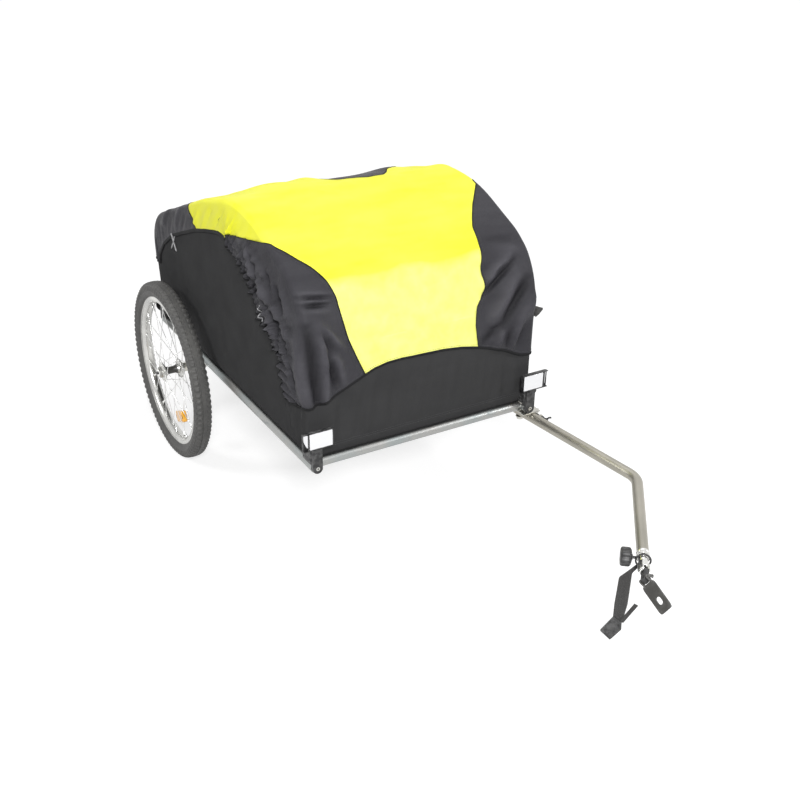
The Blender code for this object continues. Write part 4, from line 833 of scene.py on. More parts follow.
def arch_line() -> Array:
    """An arch's centreline as closely spaced (y, z) points."""
    return evenly(rounded_path(ARCH_CORNERS, 2), 0.004)


def arch_height(y: float) -> float:
    """The height of the arch's upper run at a given y."""
    line = arch_line()
    top = line[line[:, 1] > ARCH_CORNERS[4][1]]
    return float(np.interp(y, top[:, 0], top[:, 1]))


@dataclass
class BaseFrame:
    """The welded rails, the moulded corner knuckles, the arches with their spreaders, and the axle carrier."""

    wall: float = 0.0016
    arch_wall: float = 0.0015
    spreader_r: float = 0.008
    spreaders: tuple = (0.05, 0.66)
    beam_half: float = 0.318
    bead_r: float = 0.0018
    knuckle_low: float = 0.0133

    def build(self) -> None:
        """Builds every piece of the frame."""
        self.rails()
        for y, facing, end in ((0, 0, "front"), (FRAME_LENGTH, math.pi, "rear")):
            for side in Side:
                self.knuckle(f"{end}_{side.word}", side.value, y, facing)
        for side in Side:
            self.arch(side)
        for y, end in zip(self.spreaders, ("front", "rear")):
            self.spreader(y, end)
        self.carrier()

    def rails(self) -> None:
        """Four tubes and the weld bead round each joint: the bead is a ring whose radius ripples."""
        form, beads = Form(), Form()
        for side in Side:
            ends = [(side.value * FRAME_HALF, y, RAIL_Z) for y in (-RAIL_OVERHANG, FRAME_LENGTH + RAIL_OVERHANG)]
            form.tube(evenly(np.array(ends), 0.05), TUBE_R, TUBE_R - self.wall, UP, 40)
        for y in (0, FRAME_LENGTH):
            form.tube(straight(FRAME_HALF - TUBE_R * 0.8, y, RAIL_Z, 0.05), TUBE_R - GAP, TUBE_R - self.wall, UP, 40)
        form.piece("rails", ALLOY, "base_frame")
        angle = turns(96)
        cos, sin = TUBE_R * circle(angle).T
        dip = TUBE_R - np.sqrt(TUBE_R ** 2 - cos ** 2 * 0.98)
        size = self.bead_r * (1 + 0.18 * np.sin(angle * 23))
        for side in Side:
            for y in (0, FRAME_LENGTH):
                path = stack(side.value * (FRAME_HALF - TUBE_R + dip * 0.92), y + cos, RAIL_Z + sin)
                ways = unit(np.roll(path, -1, 0) - np.roll(path, 1, 0))
                out = unit(path - (side.value * (FRAME_HALF - 0.03), y, RAIL_Z))
                beads.grid(rings(path, out, np.cross(ways, out), size, 8), (True, True))
        beads.piece("rail_welds", ZINC, slot="brushed_alloy")

    def knuckle(self, spot: str, side: int, y: float, facing: float) -> None:
        """A moulded corner: socket block with ribs, round boss with a sunk screw, and the plug in the rail."""
        place = shifted(side * FRAME_HALF, y, RAIL_Z) @ turned(facing, "Z")
        top = KNUCKLE_TOP - 0.0006 - RAIL_Z
        form = Form()
        low, high = -RAIL_OVERHANG - 0.004, LEG_Y + KNUCKLE_HALF
        form.block((KNUCKLE_HALF, (high - low) / 2, 0.004, 4), (0, (high + low) / 2), self.knuckle_low, top, place)
        flat = place @ UPRIGHT
        r = 0.0122
        arc = r * circle(np.linspace(math.pi, math.tau, 21)) + (0, 0.0025)
        boss = np.concatenate([[(r, top - 0.0003), (-r, top - 0.0003)], arc])
        depth = RAIL_OVERHANG + GAP + BOSS_THICK
        form.prism(boss, depth - BOSS_THICK, depth, flat)
        form.prism(circle(turns(32)) * 0.0108, -0.004, RAIL_OVERHANG + 0.002, flat)
        for lift in (0.02, 0.03, 0.04):
            form.block((KNUCKLE_HALF + 0.0006, 0.0009, 0.0006, 2), (0, lift), -high + 0.004, -low - 0.002, flat)
        form.piece("corner_" + spot, BLACK_PLASTIC, "corner_knuckle_" + spot,
                   sharp=40, bevel=0.0012)
        head = mm((-1, 0), (-1, 1.8), (0.1, 2.2), (0.4, 3.4), (0.1, 4.6), (-1, 5), (-3, 5), (-3, 0))
        screw = Form()
        screw.lathe(head, place @ shifted(0, -depth, 0.0025) @ turned(-math.pi / 2, "Z"), 24)
        screw.piece(f"corner_{spot}_screw", ZINC)

    def arch(self, side: Side) -> None:
        """A bent tube from knuckle to knuckle."""
        y, z = arch_line().T
        form = Form()
        form.tube(evenly(stack(side.value * FRAME_HALF, y, z), 0.012), ARCH_R, ARCH_R - self.arch_wall, ACROSS, 24)
        form.piece(f"arch_{side.word}", ALLOY, f"side_arch_{side.word}")

    def spreader(self, y: float, end: str) -> None:
        """A cross tube whose ends stop inside the weld on each arch."""
        z, r = arch_height(y), self.spreader_r
        form = Form()
        form.tube(straight(FRAME_HALF - ARCH_R * 0.9, y, z, 0.04), r, r - self.arch_wall, UP, 28)
        bead = mm((-2.2, 7), (-1.6, 9), (0, 9.7), (1.6, 9), (2.2, 7))
        for side in Side:
            form.lathe(bead, shifted(side.value * (FRAME_HALF - ARCH_R), y, z), 40, True)
        form.piece(f"cross_tube_{end}", ALLOY, f"spreader_{end}")

    def carrier(self) -> None:
        """The beam between the wheels, on two bracket plates with rounded feet."""
        form = Form()
        form.tube(straight(self.beam_half, *AXLE, 0.05), TUBE_R, TUBE_R - self.wall, UP, 40)
        foot = np.array(AXLE) + 0.02 * circle(np.linspace(math.radians(195), math.radians(345), 17))
        top = RAIL_Z + TUBE_R - 0.005
        outline = np.concatenate([[(AXLE[0] + 0.045, top), (AXLE[0] - 0.045, top)], foot])
        outer = FRAME_HALF - TUBE_R - GAP
        bead = mm((-1.8, 11.7), (0, 14.6), (1.8, 11.7))
        for side in Side:
            form.prism(outline, *sorted((side.value * (outer - 0.005), side.value * outer)), FLAT)
            for way in (-1, 1):
                form.lathe(bead, shifted(side.value * (outer - 0.0025) + way * 0.0025, *AXLE), 48, True)
        form.piece("carrier", ZINC, "axle_carrier", bevel=0.0007)


@dataclass
class Tub:
    """The cloth walls between the rails and the arches: one sheet that runs round the frame."""

    bottom: float = 0.324
    board_half: float = 0.2917
    board_end: float = 0.0008
    tuck: float = 0.0118
    end_tuck: float = 0.0072
    tuck_height: float = 0.022
    end_top: float = 0.56
    notch_x: float = 0.2784
    notch_y: float = 0.0181
    rows: int = 56
    thickness: float = 0.0012

    def columns(self) -> tuple[Array, Array]:
        """The line round the tub at rail height, and each point's lower edge.

        One half runs forward up the right side and across the front; the other is the same half turned half round.

        Returns:
            Points (x, y) and the height of the sheet's lower edge at each.
        """
        out = FRAME_HALF + WALL_OUT
        near = LEG_Y - WALL_OUT
        cos, sin = WALL_OUT * circle(np.linspace(0, math.pi / 2, 9)).T
        side_y = np.linspace(FRAME_LENGTH - self.notch_y, self.notch_y, 90)
        runs = ((-out, side_y, self.bottom), (-out, (self.notch_y, LEG_Y), KNUCKLE_TOP),
                (-FRAME_HALF - cos[1:], LEG_Y - sin[1:], KNUCKLE_TOP), (-self.notch_x, (near,), KNUCKLE_TOP),
                (np.linspace(-self.notch_x, self.notch_x, 86), near, self.bottom),
                (self.notch_x, (near,), KNUCKLE_TOP), (FRAME_HALF + sin, LEG_Y - cos, KNUCKLE_TOP),
                (out, (self.notch_y,), KNUCKLE_TOP))
        x, y, low = np.concatenate([stack(*run) for run in runs]).T
        half = stack(x, y)
        return np.concatenate([half, (0, FRAME_LENGTH) - half]), np.concatenate([low, low])

    def tops(self, line: Array) -> Array:
        """The sheet's upper edge: the ends' own height, and along the sides the arch's centreline."""
        arch = arch_line()
        upper = arch[arch[:, 1] > self.end_top]
        order = np.argsort(upper[:, 0], kind="stable")
        height = np.interp(line[:, 1], upper[order, 0], upper[order, 1])
        inside = (line[:, 1] > LEG_Y) & (line[:, 1] < FRAME_LENGTH - LEG_Y)
        side = np.abs(line[:, 0]) > FRAME_HALF + WALL_OUT * 0.95
        return np.where(inside & side, np.maximum(height, self.end_top), self.end_top)

    def surface(self) -> Array:
        """The sheet: x and y from the line, z by height, leant out with the rear legs and tucked in to the rails."""
        line, low = self.columns()
        z = low + (self.tops(line) - low) * np.linspace(0, 1, self.rows)[:, None] ** 0.85
        x = np.broadcast_to(line[:, 0], z.shape).copy()
        y = np.broadcast_to(line[:, 1], z.shape).copy()
        arch = arch_line()
        rear = arch[arch[:, 0] > 0.85]
        lean = np.interp(z, rear[::-1, 1], rear[::-1, 0]) - REAR_LEG_Y
        y += lean * ease((y - 0.7) / 0.22) * (z < 0.7)
        foot = 1 - ease((z - self.bottom) / self.tuck_height)
        x -= np.sign(x) * np.where(np.abs(x) > FRAME_HALF + WALL_OUT * 0.95, foot * self.tuck, 0)
        end = np.where(np.abs(x) <= self.notch_x + 1e-6, foot, 0)
        y += np.where(y < 0.2, 1, -1) * self.end_tuck * end
        above = np.maximum(z - np.interp(x, *np.array(RainCover.front_hem).T), 0)
        lean_in = (above * 0.31 + 0.0008 * ease(above / 0.01)) * (1 - (x / FRAME_HALF) ** 4)
        y += np.where((y < 0.02) & (np.abs(x) < FRAME_HALF), np.maximum(lean_in, 0), 0)
        return stack(x, y, z) + self.sag(x, y, z)

    def sag(self, x: Array, y: Array, z: Array) -> Array:
        """Soft vertical folds on the ends and a slight belly on the sides, always outwards of the frame."""
        end = np.abs(x) < FRAME_HALF - 0.004
        inside = ease((FRAME_HALF - np.abs(x)) / 0.05)
        hem = np.interp(x, *np.array(RainCover.front_hem).T)
        hang = ease((z - 0.345) / 0.03) * (1 - ease((z - hem + 0.035) / 0.03))
        folds = 0.0022 * ripple(x + 0.25 * (z - 0.4), 0.085, 4) + 0.0013 * ripple(x - 0.15 * z, 0.031, 9)
        ridge = 0.0034 * bell(np.abs(x) - 0.252, 0.013) - 0.003 * bell(np.abs(x) - 0.226, 0.01)
        push = (folds + ridge + 0.0016) * inside * hang * (1 * (end & (y > 0.7)) - (end & (y < 0.2)))
        side = (np.abs(x) > FRAME_HALF + WALL_OUT * 0.75) & (y > 0.019) & (y < 0.91)
        middle = ease((y - 0.06) / 0.2) * ease((0.87 - y) / 0.2) * ease((z - 0.345) / 0.08)
        under = 1 - ease((z - np.interp(y, *np.array(RainCover.side_hem).T) + 0.09) / 0.07)
        belly = middle * under * (0.0024 + 0.0007 * ripple(y + 0.3 * z, 0.16, 12))
        corner = ease((z - 0.35) / 0.03) * (1 - ease((y - 0.075) / 0.05)) * (1 - ease((z - 0.47) / 0.05))
        belly += corner * np.maximum(0.0034 * ripple(y + 0.12 * z, 0.026, 17) + 0.001, 0)
        return stack(np.sign(x) * belly * side, push, 0)

    def build(self) -> None:
        """The floor board, the sheet, its bound hems and the corner seams with their stitching."""
        self.board()
        points = self.surface()
        form, hem, thread = Form(), Form(), Form()
        form.grid(points, (False, True), away=(0, 0.46, 0.45))
        panels = "front_panel rear_panel side_panel_left side_panel_right"
        sheet = form.piece("tub_walls", WALL_CLOTH, panels, closed=False,
                           thickness=self.thickness)
        low = np.concatenate([points[0], points[0][:1]])
        hem.grid(swept(low + (0, 0, 0.0012), 0.0017, SKEW, 8)[:-1], (True, True))
        centre = np.array((0, FRAME_LENGTH / 2, 0))
        inward = (points[-1] - centre) * (1 - 0.0012 / FRAME_HALF, 1 - 0.0012 / FRAME_LENGTH * 2, 1)
        top = np.concatenate([inward, inward[:1]]) + centre - (0, 0, 0.001)
        hem.grid(swept(top, 0.0012, SKEW, 8)[:-1], (True, True))
        hems = hem.piece("tub_hems", BINDING, sharp=60)
        x, y = points[0, :, 0], points[0, :, 1]
        ends = np.abs(x) < self.notch_x - 0.01
        for row in (4, 5):
            for part, way in ((ends & (y < 0.1), -1), (ends & (y > 0.8), 1)):
                run = points[row, part]
                thread.stitches(run + (0, way * 0.0004, 0), np.tile((0, way, 0), (len(run), 1)))
        normal = unit(points - (0, 0.46, 0)) * (1, 1, 0)
        for spot in np.where(np.abs(x) > FRAME_HALF + 0.011)[0][[0, -1]]:
            thread.stitches(points[6:-6, spot], normal[6:-6, spot])
        seam = thread.piece("tub_stitches", THREAD)

    def board(self) -> None:
        """A stiff board on the rails, its corners cut out round the knuckles."""
        low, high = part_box("floor_panel")
        notch = KNUCKLE_HALF + 0.001
        inner, far = FRAME_HALF - notch, FRAME_LENGTH + self.board_end
        quarter = [(inner, -self.board_end), (inner, notch), (self.board_half, notch)]
        outline = quarter + [(self.board_half, FRAME_LENGTH - notch), (inner, FRAME_LENGTH - notch), (inner, far)]
        form = Form()
        form.prism(outline + [(-x, y) for x, y in reversed(outline)], low[2] - SHIFT[2], high[2] - SHIFT[2], np.eye(4))
        form.piece("floor_board", FLOOR_BOARD, "floor_panel", bevel=0.0006)

    @staticmethod
    def area(points: Array) -> float:
        """The area of a grid: half of each quad's crossed diagonals."""
        cross = np.cross(points[1:, 1:] - points[:-1, :-1], points[1:, :-1] - points[:-1, 1:])
        return float(np.linalg.norm(cross, axis=-1).sum() / 2)


@dataclass
class RainCover:
    """The rain cover: one skin over the arches, cut along its seams into a yellow middle and black corners.

    Across it runs w: 0 to 1 up the right skirt, to 1.2 round the right arch, to 3.2 over the top, whose middle is 2.2,
    to 3.4 round the left arch and to 4.4 down the left skirt. Along it runs t, from the front hem to the rear one.
    """

    fine_rows: int = 110
    rows: int = 210
    fine_share: float = 0.2
    skirt_columns: int = 34
    arc_columns: int = 8
    top_columns: int = 104
    start_z: float = 0.445
    end_z: float = 0.5
    hub: tuple = (0.45, 0.4)
    inside: tuple = (0, 0.45, 0.4)
    crease_y: float = 0.047
    thickness: float = 0.0012
    lap: float = 0.0038
    lap_power: int = 12
    fine_fold: float = 0.02
    full_rise: float = 0.009
    rear_from: float = 0.42
    side_hem: tuple = mm(
        (70, 447.5), (104, 494), (108, 545), (141, 552), (151, 570), (179, 583), (211, 590), (228, 624), (255, 654),
        (300, 687), (350, 706), (378, 716), (389, 728.5), (402, 723), (424, 725), (444, 725), (476, 718.5),
        (530, 705), (609, 683), (710, 645), (792, 613), (863, 570), (904, 530), (915, 490))
    front_hem: tuple = mm(
        (-293.5, 456), (-157, 508), (-136, 516), (-103, 523), (-64, 524.5), (-32, 523), (3, 523), (44, 521),
        (99, 515), (148, 504), (215, 483), (265, 458), (293.5, 452))
    right_seam: tuple = mm(
        (-307.6, 391, 727), (-307.6, 382, 737), (-307.6, 368, 746), (-307.6, 315, 758), (-307.6, 241, 769),
        (-292, 151, 777), (-279, 136, 771), (-261, 109, 759), (-242, 79, 745), (-222, 49, 723), (-209, 20, 690),
        (-202, -2, 646), (-191, -11, 595), (-175, -11, 552), (-160, -11, 512))
    left_seam: tuple = mm(
        (307.6, 391, 727), (307.6, 368, 760), (307.6, 315, 790), (300, 253, 814), (238, 173, 787), (194.5, 106, 757),
        (181.5, 62, 733), (170, 19, 689), (175.5, -4, 639), (151, -10, 604), (143.5, -11, 563), (144, -11, 509))
    rear_seam: tuple = (
        (0, 0.622), (1, 0.642), (1.2, 0.646), (1.5, 0.64), (1.9, 0.612), (2.15, 0.56), (2.26, 0.5), (2.36, 0.425),
        (2.46, 0.392), (2.58, 0.396), (2.7, 0.43), (2.8, 0.474), (2.88, 0.49), (2.96, 0.512), (3.08, 0.55),
        (3.2, 0.56), (3.4, 0.568), (4.4, 0.56))

    # Each fold's start, end, width and height in millimetres, then how much y counts.
    FOLDS = tuple(Fold.of(row) for row in (
        (-115, 420, 800, -115, 620, 760, 80, 13), (-30, 460, 790, -30, 600, 760, 35, 11),
        (100, 460, 790, 250, 540, 780, 50, 11), (290, 360, 820, 290, 440, 800, 30, 6),
        (250, 10, 670, 225, -6, 490, 45, 8, 0.3), (-262, 0, 670, -262, -8, 440, 45, 9, 0.3),
        (170, 18, 622, 258, 26, 689, 7, -12, 0.3), (170, 18, 644, 262, 26, 712, 12, 11, 0.3),
        (205, 26, 664, 232, 26, 684, 6, -8, 0.3), (282, 2, 646, 216, 0, 545, 11, -15, 0.3),
        (262, 4, 655, 186, 0, 560, 14, 13, 0.3), (296, 0, 600, 246, 0, 500, 14, 12, 0.3),
        (150, -7, 512, 205, -4, 545, 9, -10, 0.3), (226, -7, 480, 236, -4, 530, 8, -9, 0.3),
        (256, -7, 480, 280, -4, 560, 9, -8, 0.3), (196, -7, 495, 214, -4, 535, 8, 8, 0.3),
        (200, 72, 741, 292, 53, 727, 10, -4, 0.3), (205, 52, 722, 292, 40, 708, 14, 4, 0.3),
        (-308, 245, 716, -308, 67, 626, 11, 11), (-308, 70, 626, -245, -11, 548, 10, 10),
        (-308, 225, 682, -308, 62, 594, 9, -9), (-308, 200, 650, -308, 66, 560, 9, 8),
        (-299, -4, 642, -282, -11, 455, 9.5, -17, 0.3), (-318, 18, 655, -304, -9, 455, 12, 14, 0.6),
        (-272, -4, 640, -262, -11, 455, 12, 15, 0.3), (-254, -3, 575, -232, -8, 495, 8.5, -15, 0.3),
        (-236, -3, 590, -214, -8, 500, 11, 11, 0.3), (-308, 60, 610, -308, 40, 500, 10, 8),
        (-308, 48, 575, -308, 26, 480, 7, -7), (-300, 34, 709, -222, 34, 697, 6, 7, 0.3),
        (-300, 30, 701, -228, 31, 690, 5, -8, 0.3), (-300, 24, 695, -232, 28, 684, 5.5, 7, 0.3),
        (-294, 20, 686, -234, 25, 677, 6, -9.5, 0.3), (-290, 14, 674, -236, 18, 662, 8, 4, 0.3),
        (-262, 10, 640, -205, 4, 572, 7.5, 8.5, 0.3), (-270, 8, 625, -222, 3, 560, 8, -9, 0.3),
        (-308, 250, 750, -308, 216, 690, 6, 9), (-308, 236, 742, -308, 204, 684, 5.5, -6),
        (-308, 160, 722, -308, 136, 694, 6.5, -14), (-308, 112, 700, -308, 81, 655, 7, -16),
        (-308, 124, 640, -308, 112, 600, 8, -15), (-308, 70, 600, -308, 52, 560, 7, -14),
        (-308, 214, 716, -308, 190, 664, 6, -12), (-308, 92, 720, -308, 52, 650, 11, 6),
        (-308, 330, 738, -308, 200, 645, 10, -8), (-308, 355, 752, -308, 240, 690, 10, 8),
        (-308, 300, 760, -308, 120, 700, 12, 6), (-308, 170, 690, -308, 110, 570, 9, 9),
        (-308, 130, 660, -308, 80, 530, 8, -8), (-308, 800, 690, -308, 860, 620, 10, 7),
        (-308, 700, 720, -308, 760, 650, 10, 6), (308, 800, 690, 308, 860, 620, 10, 6),
        (308, 300, 720, 308, 160, 620, 15, 2), (308, 200, 640, 308, 80, 540, 10, 6),
        (308, 140, 600, 308, 40, 480, 10, -6), (-100, 30, 680, -140, -6, 540, 18, 2.5),
        (0, 36, 690, 20, -6, 540, 20, 2.5), (80, 36, 690, 110, -6, 540, 16, -2.5),
        (-40, 36, 690, -60, -6, 560, 14, -2), (-200, 220, 800, 50, 120, 765, 30, 2),
        (180, 350, 820, -20, 100, 755, 25, -2), (-220, 600, 760, 100, 800, 690, 30, 4),
        (220, 600, 760, -50, 820, 680, 25, -3)))

    def __post_init__(self) -> None:
        """Works out the centreline, the outer line and the hem's polar angles."""
        line = arch_line()
        outer = line + COVER_OUT * leftward(headings(line))
        outer[:, 0] = np.where(line[:, 0] > 0.5, np.maximum.accumulate(outer[:, 0]), outer[:, 0])
        keep = np.where(line[:, 0] < 0.45, line[:, 1] >= self.start_z, line[:, 1] >= self.end_z)
        self.centre, self.outer = line[keep], outer[keep]
        self.runs = run_lengths(self.outer)
        self.total = self.runs[-1]
        front = self.outer[:, 0] < 0.3
        self.crease = float(np.interp(self.crease_y, self.outer[front, 0], self.runs[front]))
        hem = evenly(np.array(self.side_hem), 0.004)
        self.hem_angle, self.hem_reach = self.polar(hem[:, 0], hem[:, 1])
        self.arch_angle, self.arch_reach = self.polar(self.centre[:, 0], self.centre[:, 1])
        self.seams = {side: self.seam_table(side) for side in Side}

    def polar(self, y: Array, z: Array) -> tuple[Array, Array]:
        """The angle and distance of points about the skirt's hub."""
        return np.arctan2(z - self.hub[1], y - self.hub[0]), np.hypot(z - self.hub[1], y - self.hub[0])

    def across(self, w: Array) -> Array:
        """The x of a place on the top; the arches' own x elsewhere."""
        return np.clip((w - W_MIDDLE) * FRAME_HALF, -FRAME_HALF, FRAME_HALF)

    def lift(self, w: Array) -> Array:
        """How far the front hem stands above the lowest start, from the hem's measured line."""
        return np.interp(self.across(w), *np.array(self.front_hem).T) - self.start_z

    def run_of(self, w: Array, t: Array) -> Array:
        """The run along the profile at (w, t): the hem's lift fades out by the crease."""
        run = t * self.total
        lift = self.lift(w)
        return np.where(run < self.crease, lift + run * (1 - lift / self.crease), run)

    def share_of(self, w: Array, run: Array) -> Array:
        """The t of a run along the profile, which undoes run_of."""
        lift = self.lift(w)
        inner = (run - lift) / (1 - lift / self.crease)
        return np.clip(np.where(run < self.crease, inner, run) / self.total, 0, 1)

    def locate(self, points: Array) -> Array:
        """The (w, t) of measured points: polar on the skirts, nearest run along the profile on the top."""
        points = np.asarray(points, float)
        x, y, z = points.T
        angle, reach = self.polar(y, z)
        order = np.argsort(self.arch_angle)
        near, top = read(angle, self.arch_angle[order], stack(self.runs, self.arch_reach)[order]).T
        order = np.argsort(self.hem_angle)
        foot = np.interp(angle, self.hem_angle[order], self.hem_reach[order])
        height = np.clip((reach - foot) / (top - foot), 0, 1)
        gaps = np.hypot(y[:, None] - self.outer[:, 0], z[:, None] - self.outer[:, 1])
        over = self.runs[gaps.argmin(1)]
        skirt = np.abs(x) > 0.305
        w = np.where(skirt, np.where(x < 0, height, W_END - height), x / FRAME_HALF + W_MIDDLE)
        return stack(w, self.share_of(w, np.where(skirt, near, over)))

    def seam_table(self, side: Side) -> Array:
        """A front seam as (t, w) pairs from the front hem back to the side hem, with its turn round the arch."""
        marks = self.locate(self.right_seam if side is Side.RIGHT else self.left_seam)[::-1]
        skirt = (marks[:, 0] < 1) | (marks[:, 0] > 3.4)
        edge = marks[~skirt][-1, 1]
        bend = ((1.2, 0.006), (1, 0.026)) if side is Side.RIGHT else ((3.2, 0.006), (3.4, 0.026))
        table = np.concatenate([marks[~skirt], bend + np.array((0, edge)), marks[skirt]])[:, ::-1]
        table[:, 0] = np.maximum.accumulate(table[:, 0] + np.arange(len(table)) * 1e-6)
        share = np.linspace(table[0, 0], table[-1, 0], 500)
        inner = np.interp(share, table[:, 0], table[:, 1])
        padded = np.concatenate([2 * inner[0] - inner[12:0:-1], inner, 2 * inner[-1] - inner[-2:-14:-1]])
        weights = bell(np.linspace(-2, 2, 25), 1)
        return stack(share, np.convolve(padded, weights / weights.sum(), "valid"))

    def seam_w(self, side: Side, t: Array) -> Array:
        """Where a front seam lies across the cover at t; past the side hem it runs on outwards."""
        table = self.seams[side]
        return np.interp(t, *table.T) + side.value * 30 * np.maximum(t - table[-1, 0], 0)

    def rear_t(self, w: Array) -> Array:
        """How far back the rear seam lies at w."""
        back = self.centre[:, 0] > 0.3
        y = np.interp(w, *np.array(self.rear_seam).T)
        return np.interp(y, self.centre[back, 0], self.runs[back]) / self.total

    def yellowness(self, w: Array, t: Array) -> Array:
        """Above zero inside the yellow panel, below it in the black ones, and zero on the seams."""
        right = w - self.seam_w(Side.RIGHT, t)
        left = self.seam_w(Side.LEFT, t) - w
        return np.minimum(np.minimum(right, left), (self.rear_t(w) - t) * 6)

    def base(self, w: Array, t: Array) -> Array:
        """The taut skin: a skirt from hem to arch, an elliptical turn over the arch tube, and the top between them."""
        run = self.run_of(w, t)
        centre, outer = read(run, self.runs, self.centre), read(run, self.runs, self.outer)
        edge = np.minimum(w, W_END - w)[..., None]
        angle, _ = self.polar(centre[..., 0], centre[..., 1])
        order = np.argsort(self.hem_angle)
        reach = np.interp(angle, self.hem_angle[order], self.hem_reach[order])
        foot = self.hub + reach[..., None] * circle(np.clip(angle, self.hem_angle[order][0], self.hem_angle[order][-1]))
        turn = np.clip((edge - 1) / 0.2, 0, 1) * math.pi / 2
        flat = np.where(edge < 1, foot + np.clip(edge, 0, 1) * (centre - foot),
                        centre + np.sin(turn) * (outer - centre))
        flat = np.where(edge > 1.2, self.middle(w, run, outer), flat)
        side = np.where(w < W_MIDDLE, -1, 1)[..., None] * (FRAME_HALF + COVER_OUT * np.cos(turn))
        return np.concatenate([np.where(edge < 1.2, side, self.across(w)[..., None]), flat], -1)

    def middle(self, w: Array, run: Array, outer: Array) -> Array:
        """The top between the arches: in front it is pulled straight from the crease to the hem.

        The blend is 1 less the fourth power of the place between the arches, so it fades in at each arch. Near the
        crease the cloth laps over the cross tube by s to the twelfth times 1 less s, scaled to the lap's height.
        """
        lift = self.lift(w)
        share = np.clip((run - lift) / (self.crease - lift), 0, 1)[..., None]
        crease = read(self.crease, self.runs, self.outer)
        start = stack(self.outer[0, 0], lift + self.start_z)
        peak = self.lap_power / (self.lap_power + 1)
        bulge = self.lap * share ** self.lap_power * (1 - share) / (peak ** self.lap_power * (1 - peak))
        chord = start + share * (crease - start) + bulge * leftward(unit(crease - start))
        blend = np.where(run < self.crease, 1 - (self.across(w) / FRAME_HALF) ** 4, 0)[..., None]
        return outer + blend * (chord - outer)

    def normals(self, w: Array, t: Array) -> Array:
        """Outward normals of the taut skin, from small steps along w and t."""
        along = self.base(w, np.clip(t + 0.003, 0, 1)) - self.base(w, np.clip(t - 0.003, 0, 1))
        across = self.base(np.clip(w + 0.02, 0, W_END), t) - self.base(np.clip(w - 0.02, 0, W_END), t)
        normal = unit(np.cross(across, along))
        inside = np.sum(normal * (self.base(w, t) - self.inside), -1, keepdims=True) < 0
        return np.where(inside, -normal, normal)

    @staticmethod
    def zones(w: Array, points: Array) -> tuple[Array, Array, Array]:
        """Where a place lies, for the folds.

        Returns:
            How far in from the hem it is, how near the front, and how far up the middle of a skirt.
        """
        edge = np.minimum(w, W_END - w)
        arch = np.where(edge < 1, np.sin(math.pi * np.clip(edge, 0, 1)), 0)
        return edge, ease((0.42 - points[..., 1]) / 0.06), arch

    def pleats(self, w: Array, t: Array, points: Array) -> tuple[Array, Array]:
        """What the hem's elastic draws up the skirts: pleats, a fine crimp at the hem and slack above.

        Returns:
            Their height and its mean round each place.
        """
        edge, front, arch = self.zones(w, points)
        run = t * self.total + np.where(w < W_MIDDLE, 0, 0.37)
        skirt = np.clip(1 - edge, 0, 1)
        right = np.where(w < W_MIDDLE, 1, 0.3)
        mean = 0.00725 * right * skirt ** 1.2 * front
        crimp = 0.0016 * ripple(run + 0.05 * edge, 0.011, 8) * right * skirt ** 2 * front
        slack = 0.0022 * right * ripple(run + 0.1 * edge, 0.055, 21) * arch
        return mean * (1 + ripple(run + 0.03 * edge, 0.023, 3)) + crimp + slack, mean

    def rise(self, w: Array, t: Array) -> Array:
        """How far the fine folds and pleats stand above the cloth round them, from -1 to 1: the black cloth's colour is
        darkened by it in valleys and lightened on crests, as painted shade and highlight.
        """
        points = self.base(w, t)
        pleats, mean = self.pleats(w, t, points)
        fine = sum(fold.lift(points) for fold in self.FOLDS if fold.width < self.fine_fold)
        return np.clip((fine + pleats - mean) / self.full_rise, -1, 1)

    def skin(self, w: Array, t: Array) -> tuple[Array, Array]:
        """The real skin: the taut one pushed along its normals by folds, gathers and slack.

        Returns:
            The points and the taut skin's normals.
        """
        points, normal = self.base(w, t), self.normals(w, t)
        edge, front, arch = self.zones(w, points)
        x, y, z = np.moveaxis(points, -1, 0)
        belly = (0.0006 + 0.006 * (w < W_MIDDLE) * front) * arch
        drape = 0.0014 * ripple(x + 0.3 * t, 0.16, 31) + 0.0008 * ripple(x * 0.6 + t * 1.4, 0.07, 33)
        hem = 0.0012 * ripple(x, 0.09, 5) * ease((edge - 1.2) / 0.2) * np.exp(-t * self.total / 0.05)
        loose = 0.0035 * ease((np.abs(x) - 0.15) / 0.06) * ease((0.045 - y) / 0.02) * ease((edge - 1.05) / 0.2)
        lift = sum(fold.lift(points) for fold in self.FOLDS) + self.pleats(w, t, points)[0]
        lift = lift + belly + ease((edge - 1.25) / 0.3) * drape + hem + loose
        low = (z < 0.58) & (y < 0.05)
        pocket = -0.008 * ease((0.85 - edge) / 0.25)
        floor = np.where(edge < 1, pocket, np.where((edge < 1.25) | low, 0, -0.004))
        return points + normal * np.maximum(lift, floor)[..., None], normal

    def mesh_grid(self) -> tuple[Array, Array]:
        """The (w, t) grid: even rows, and columns packed round the arches."""
        skirt = np.linspace(0, 1, self.skirt_columns + 1)[:-1]
        arc = np.linspace(1, 1.2, self.arc_columns + 1)[:-1]
        top = np.linspace(1.2, 3.2, self.top_columns + 1)
        w = np.concatenate([skirt, arc, top, W_END - arc[::-1], W_END - skirt[::-1]])
        t = np.concatenate([np.linspace(0, self.fine_share, self.fine_rows + 1)[:-1],
                            np.linspace(self.fine_share, 1, self.rows)])
        return np.meshgrid(w, t)

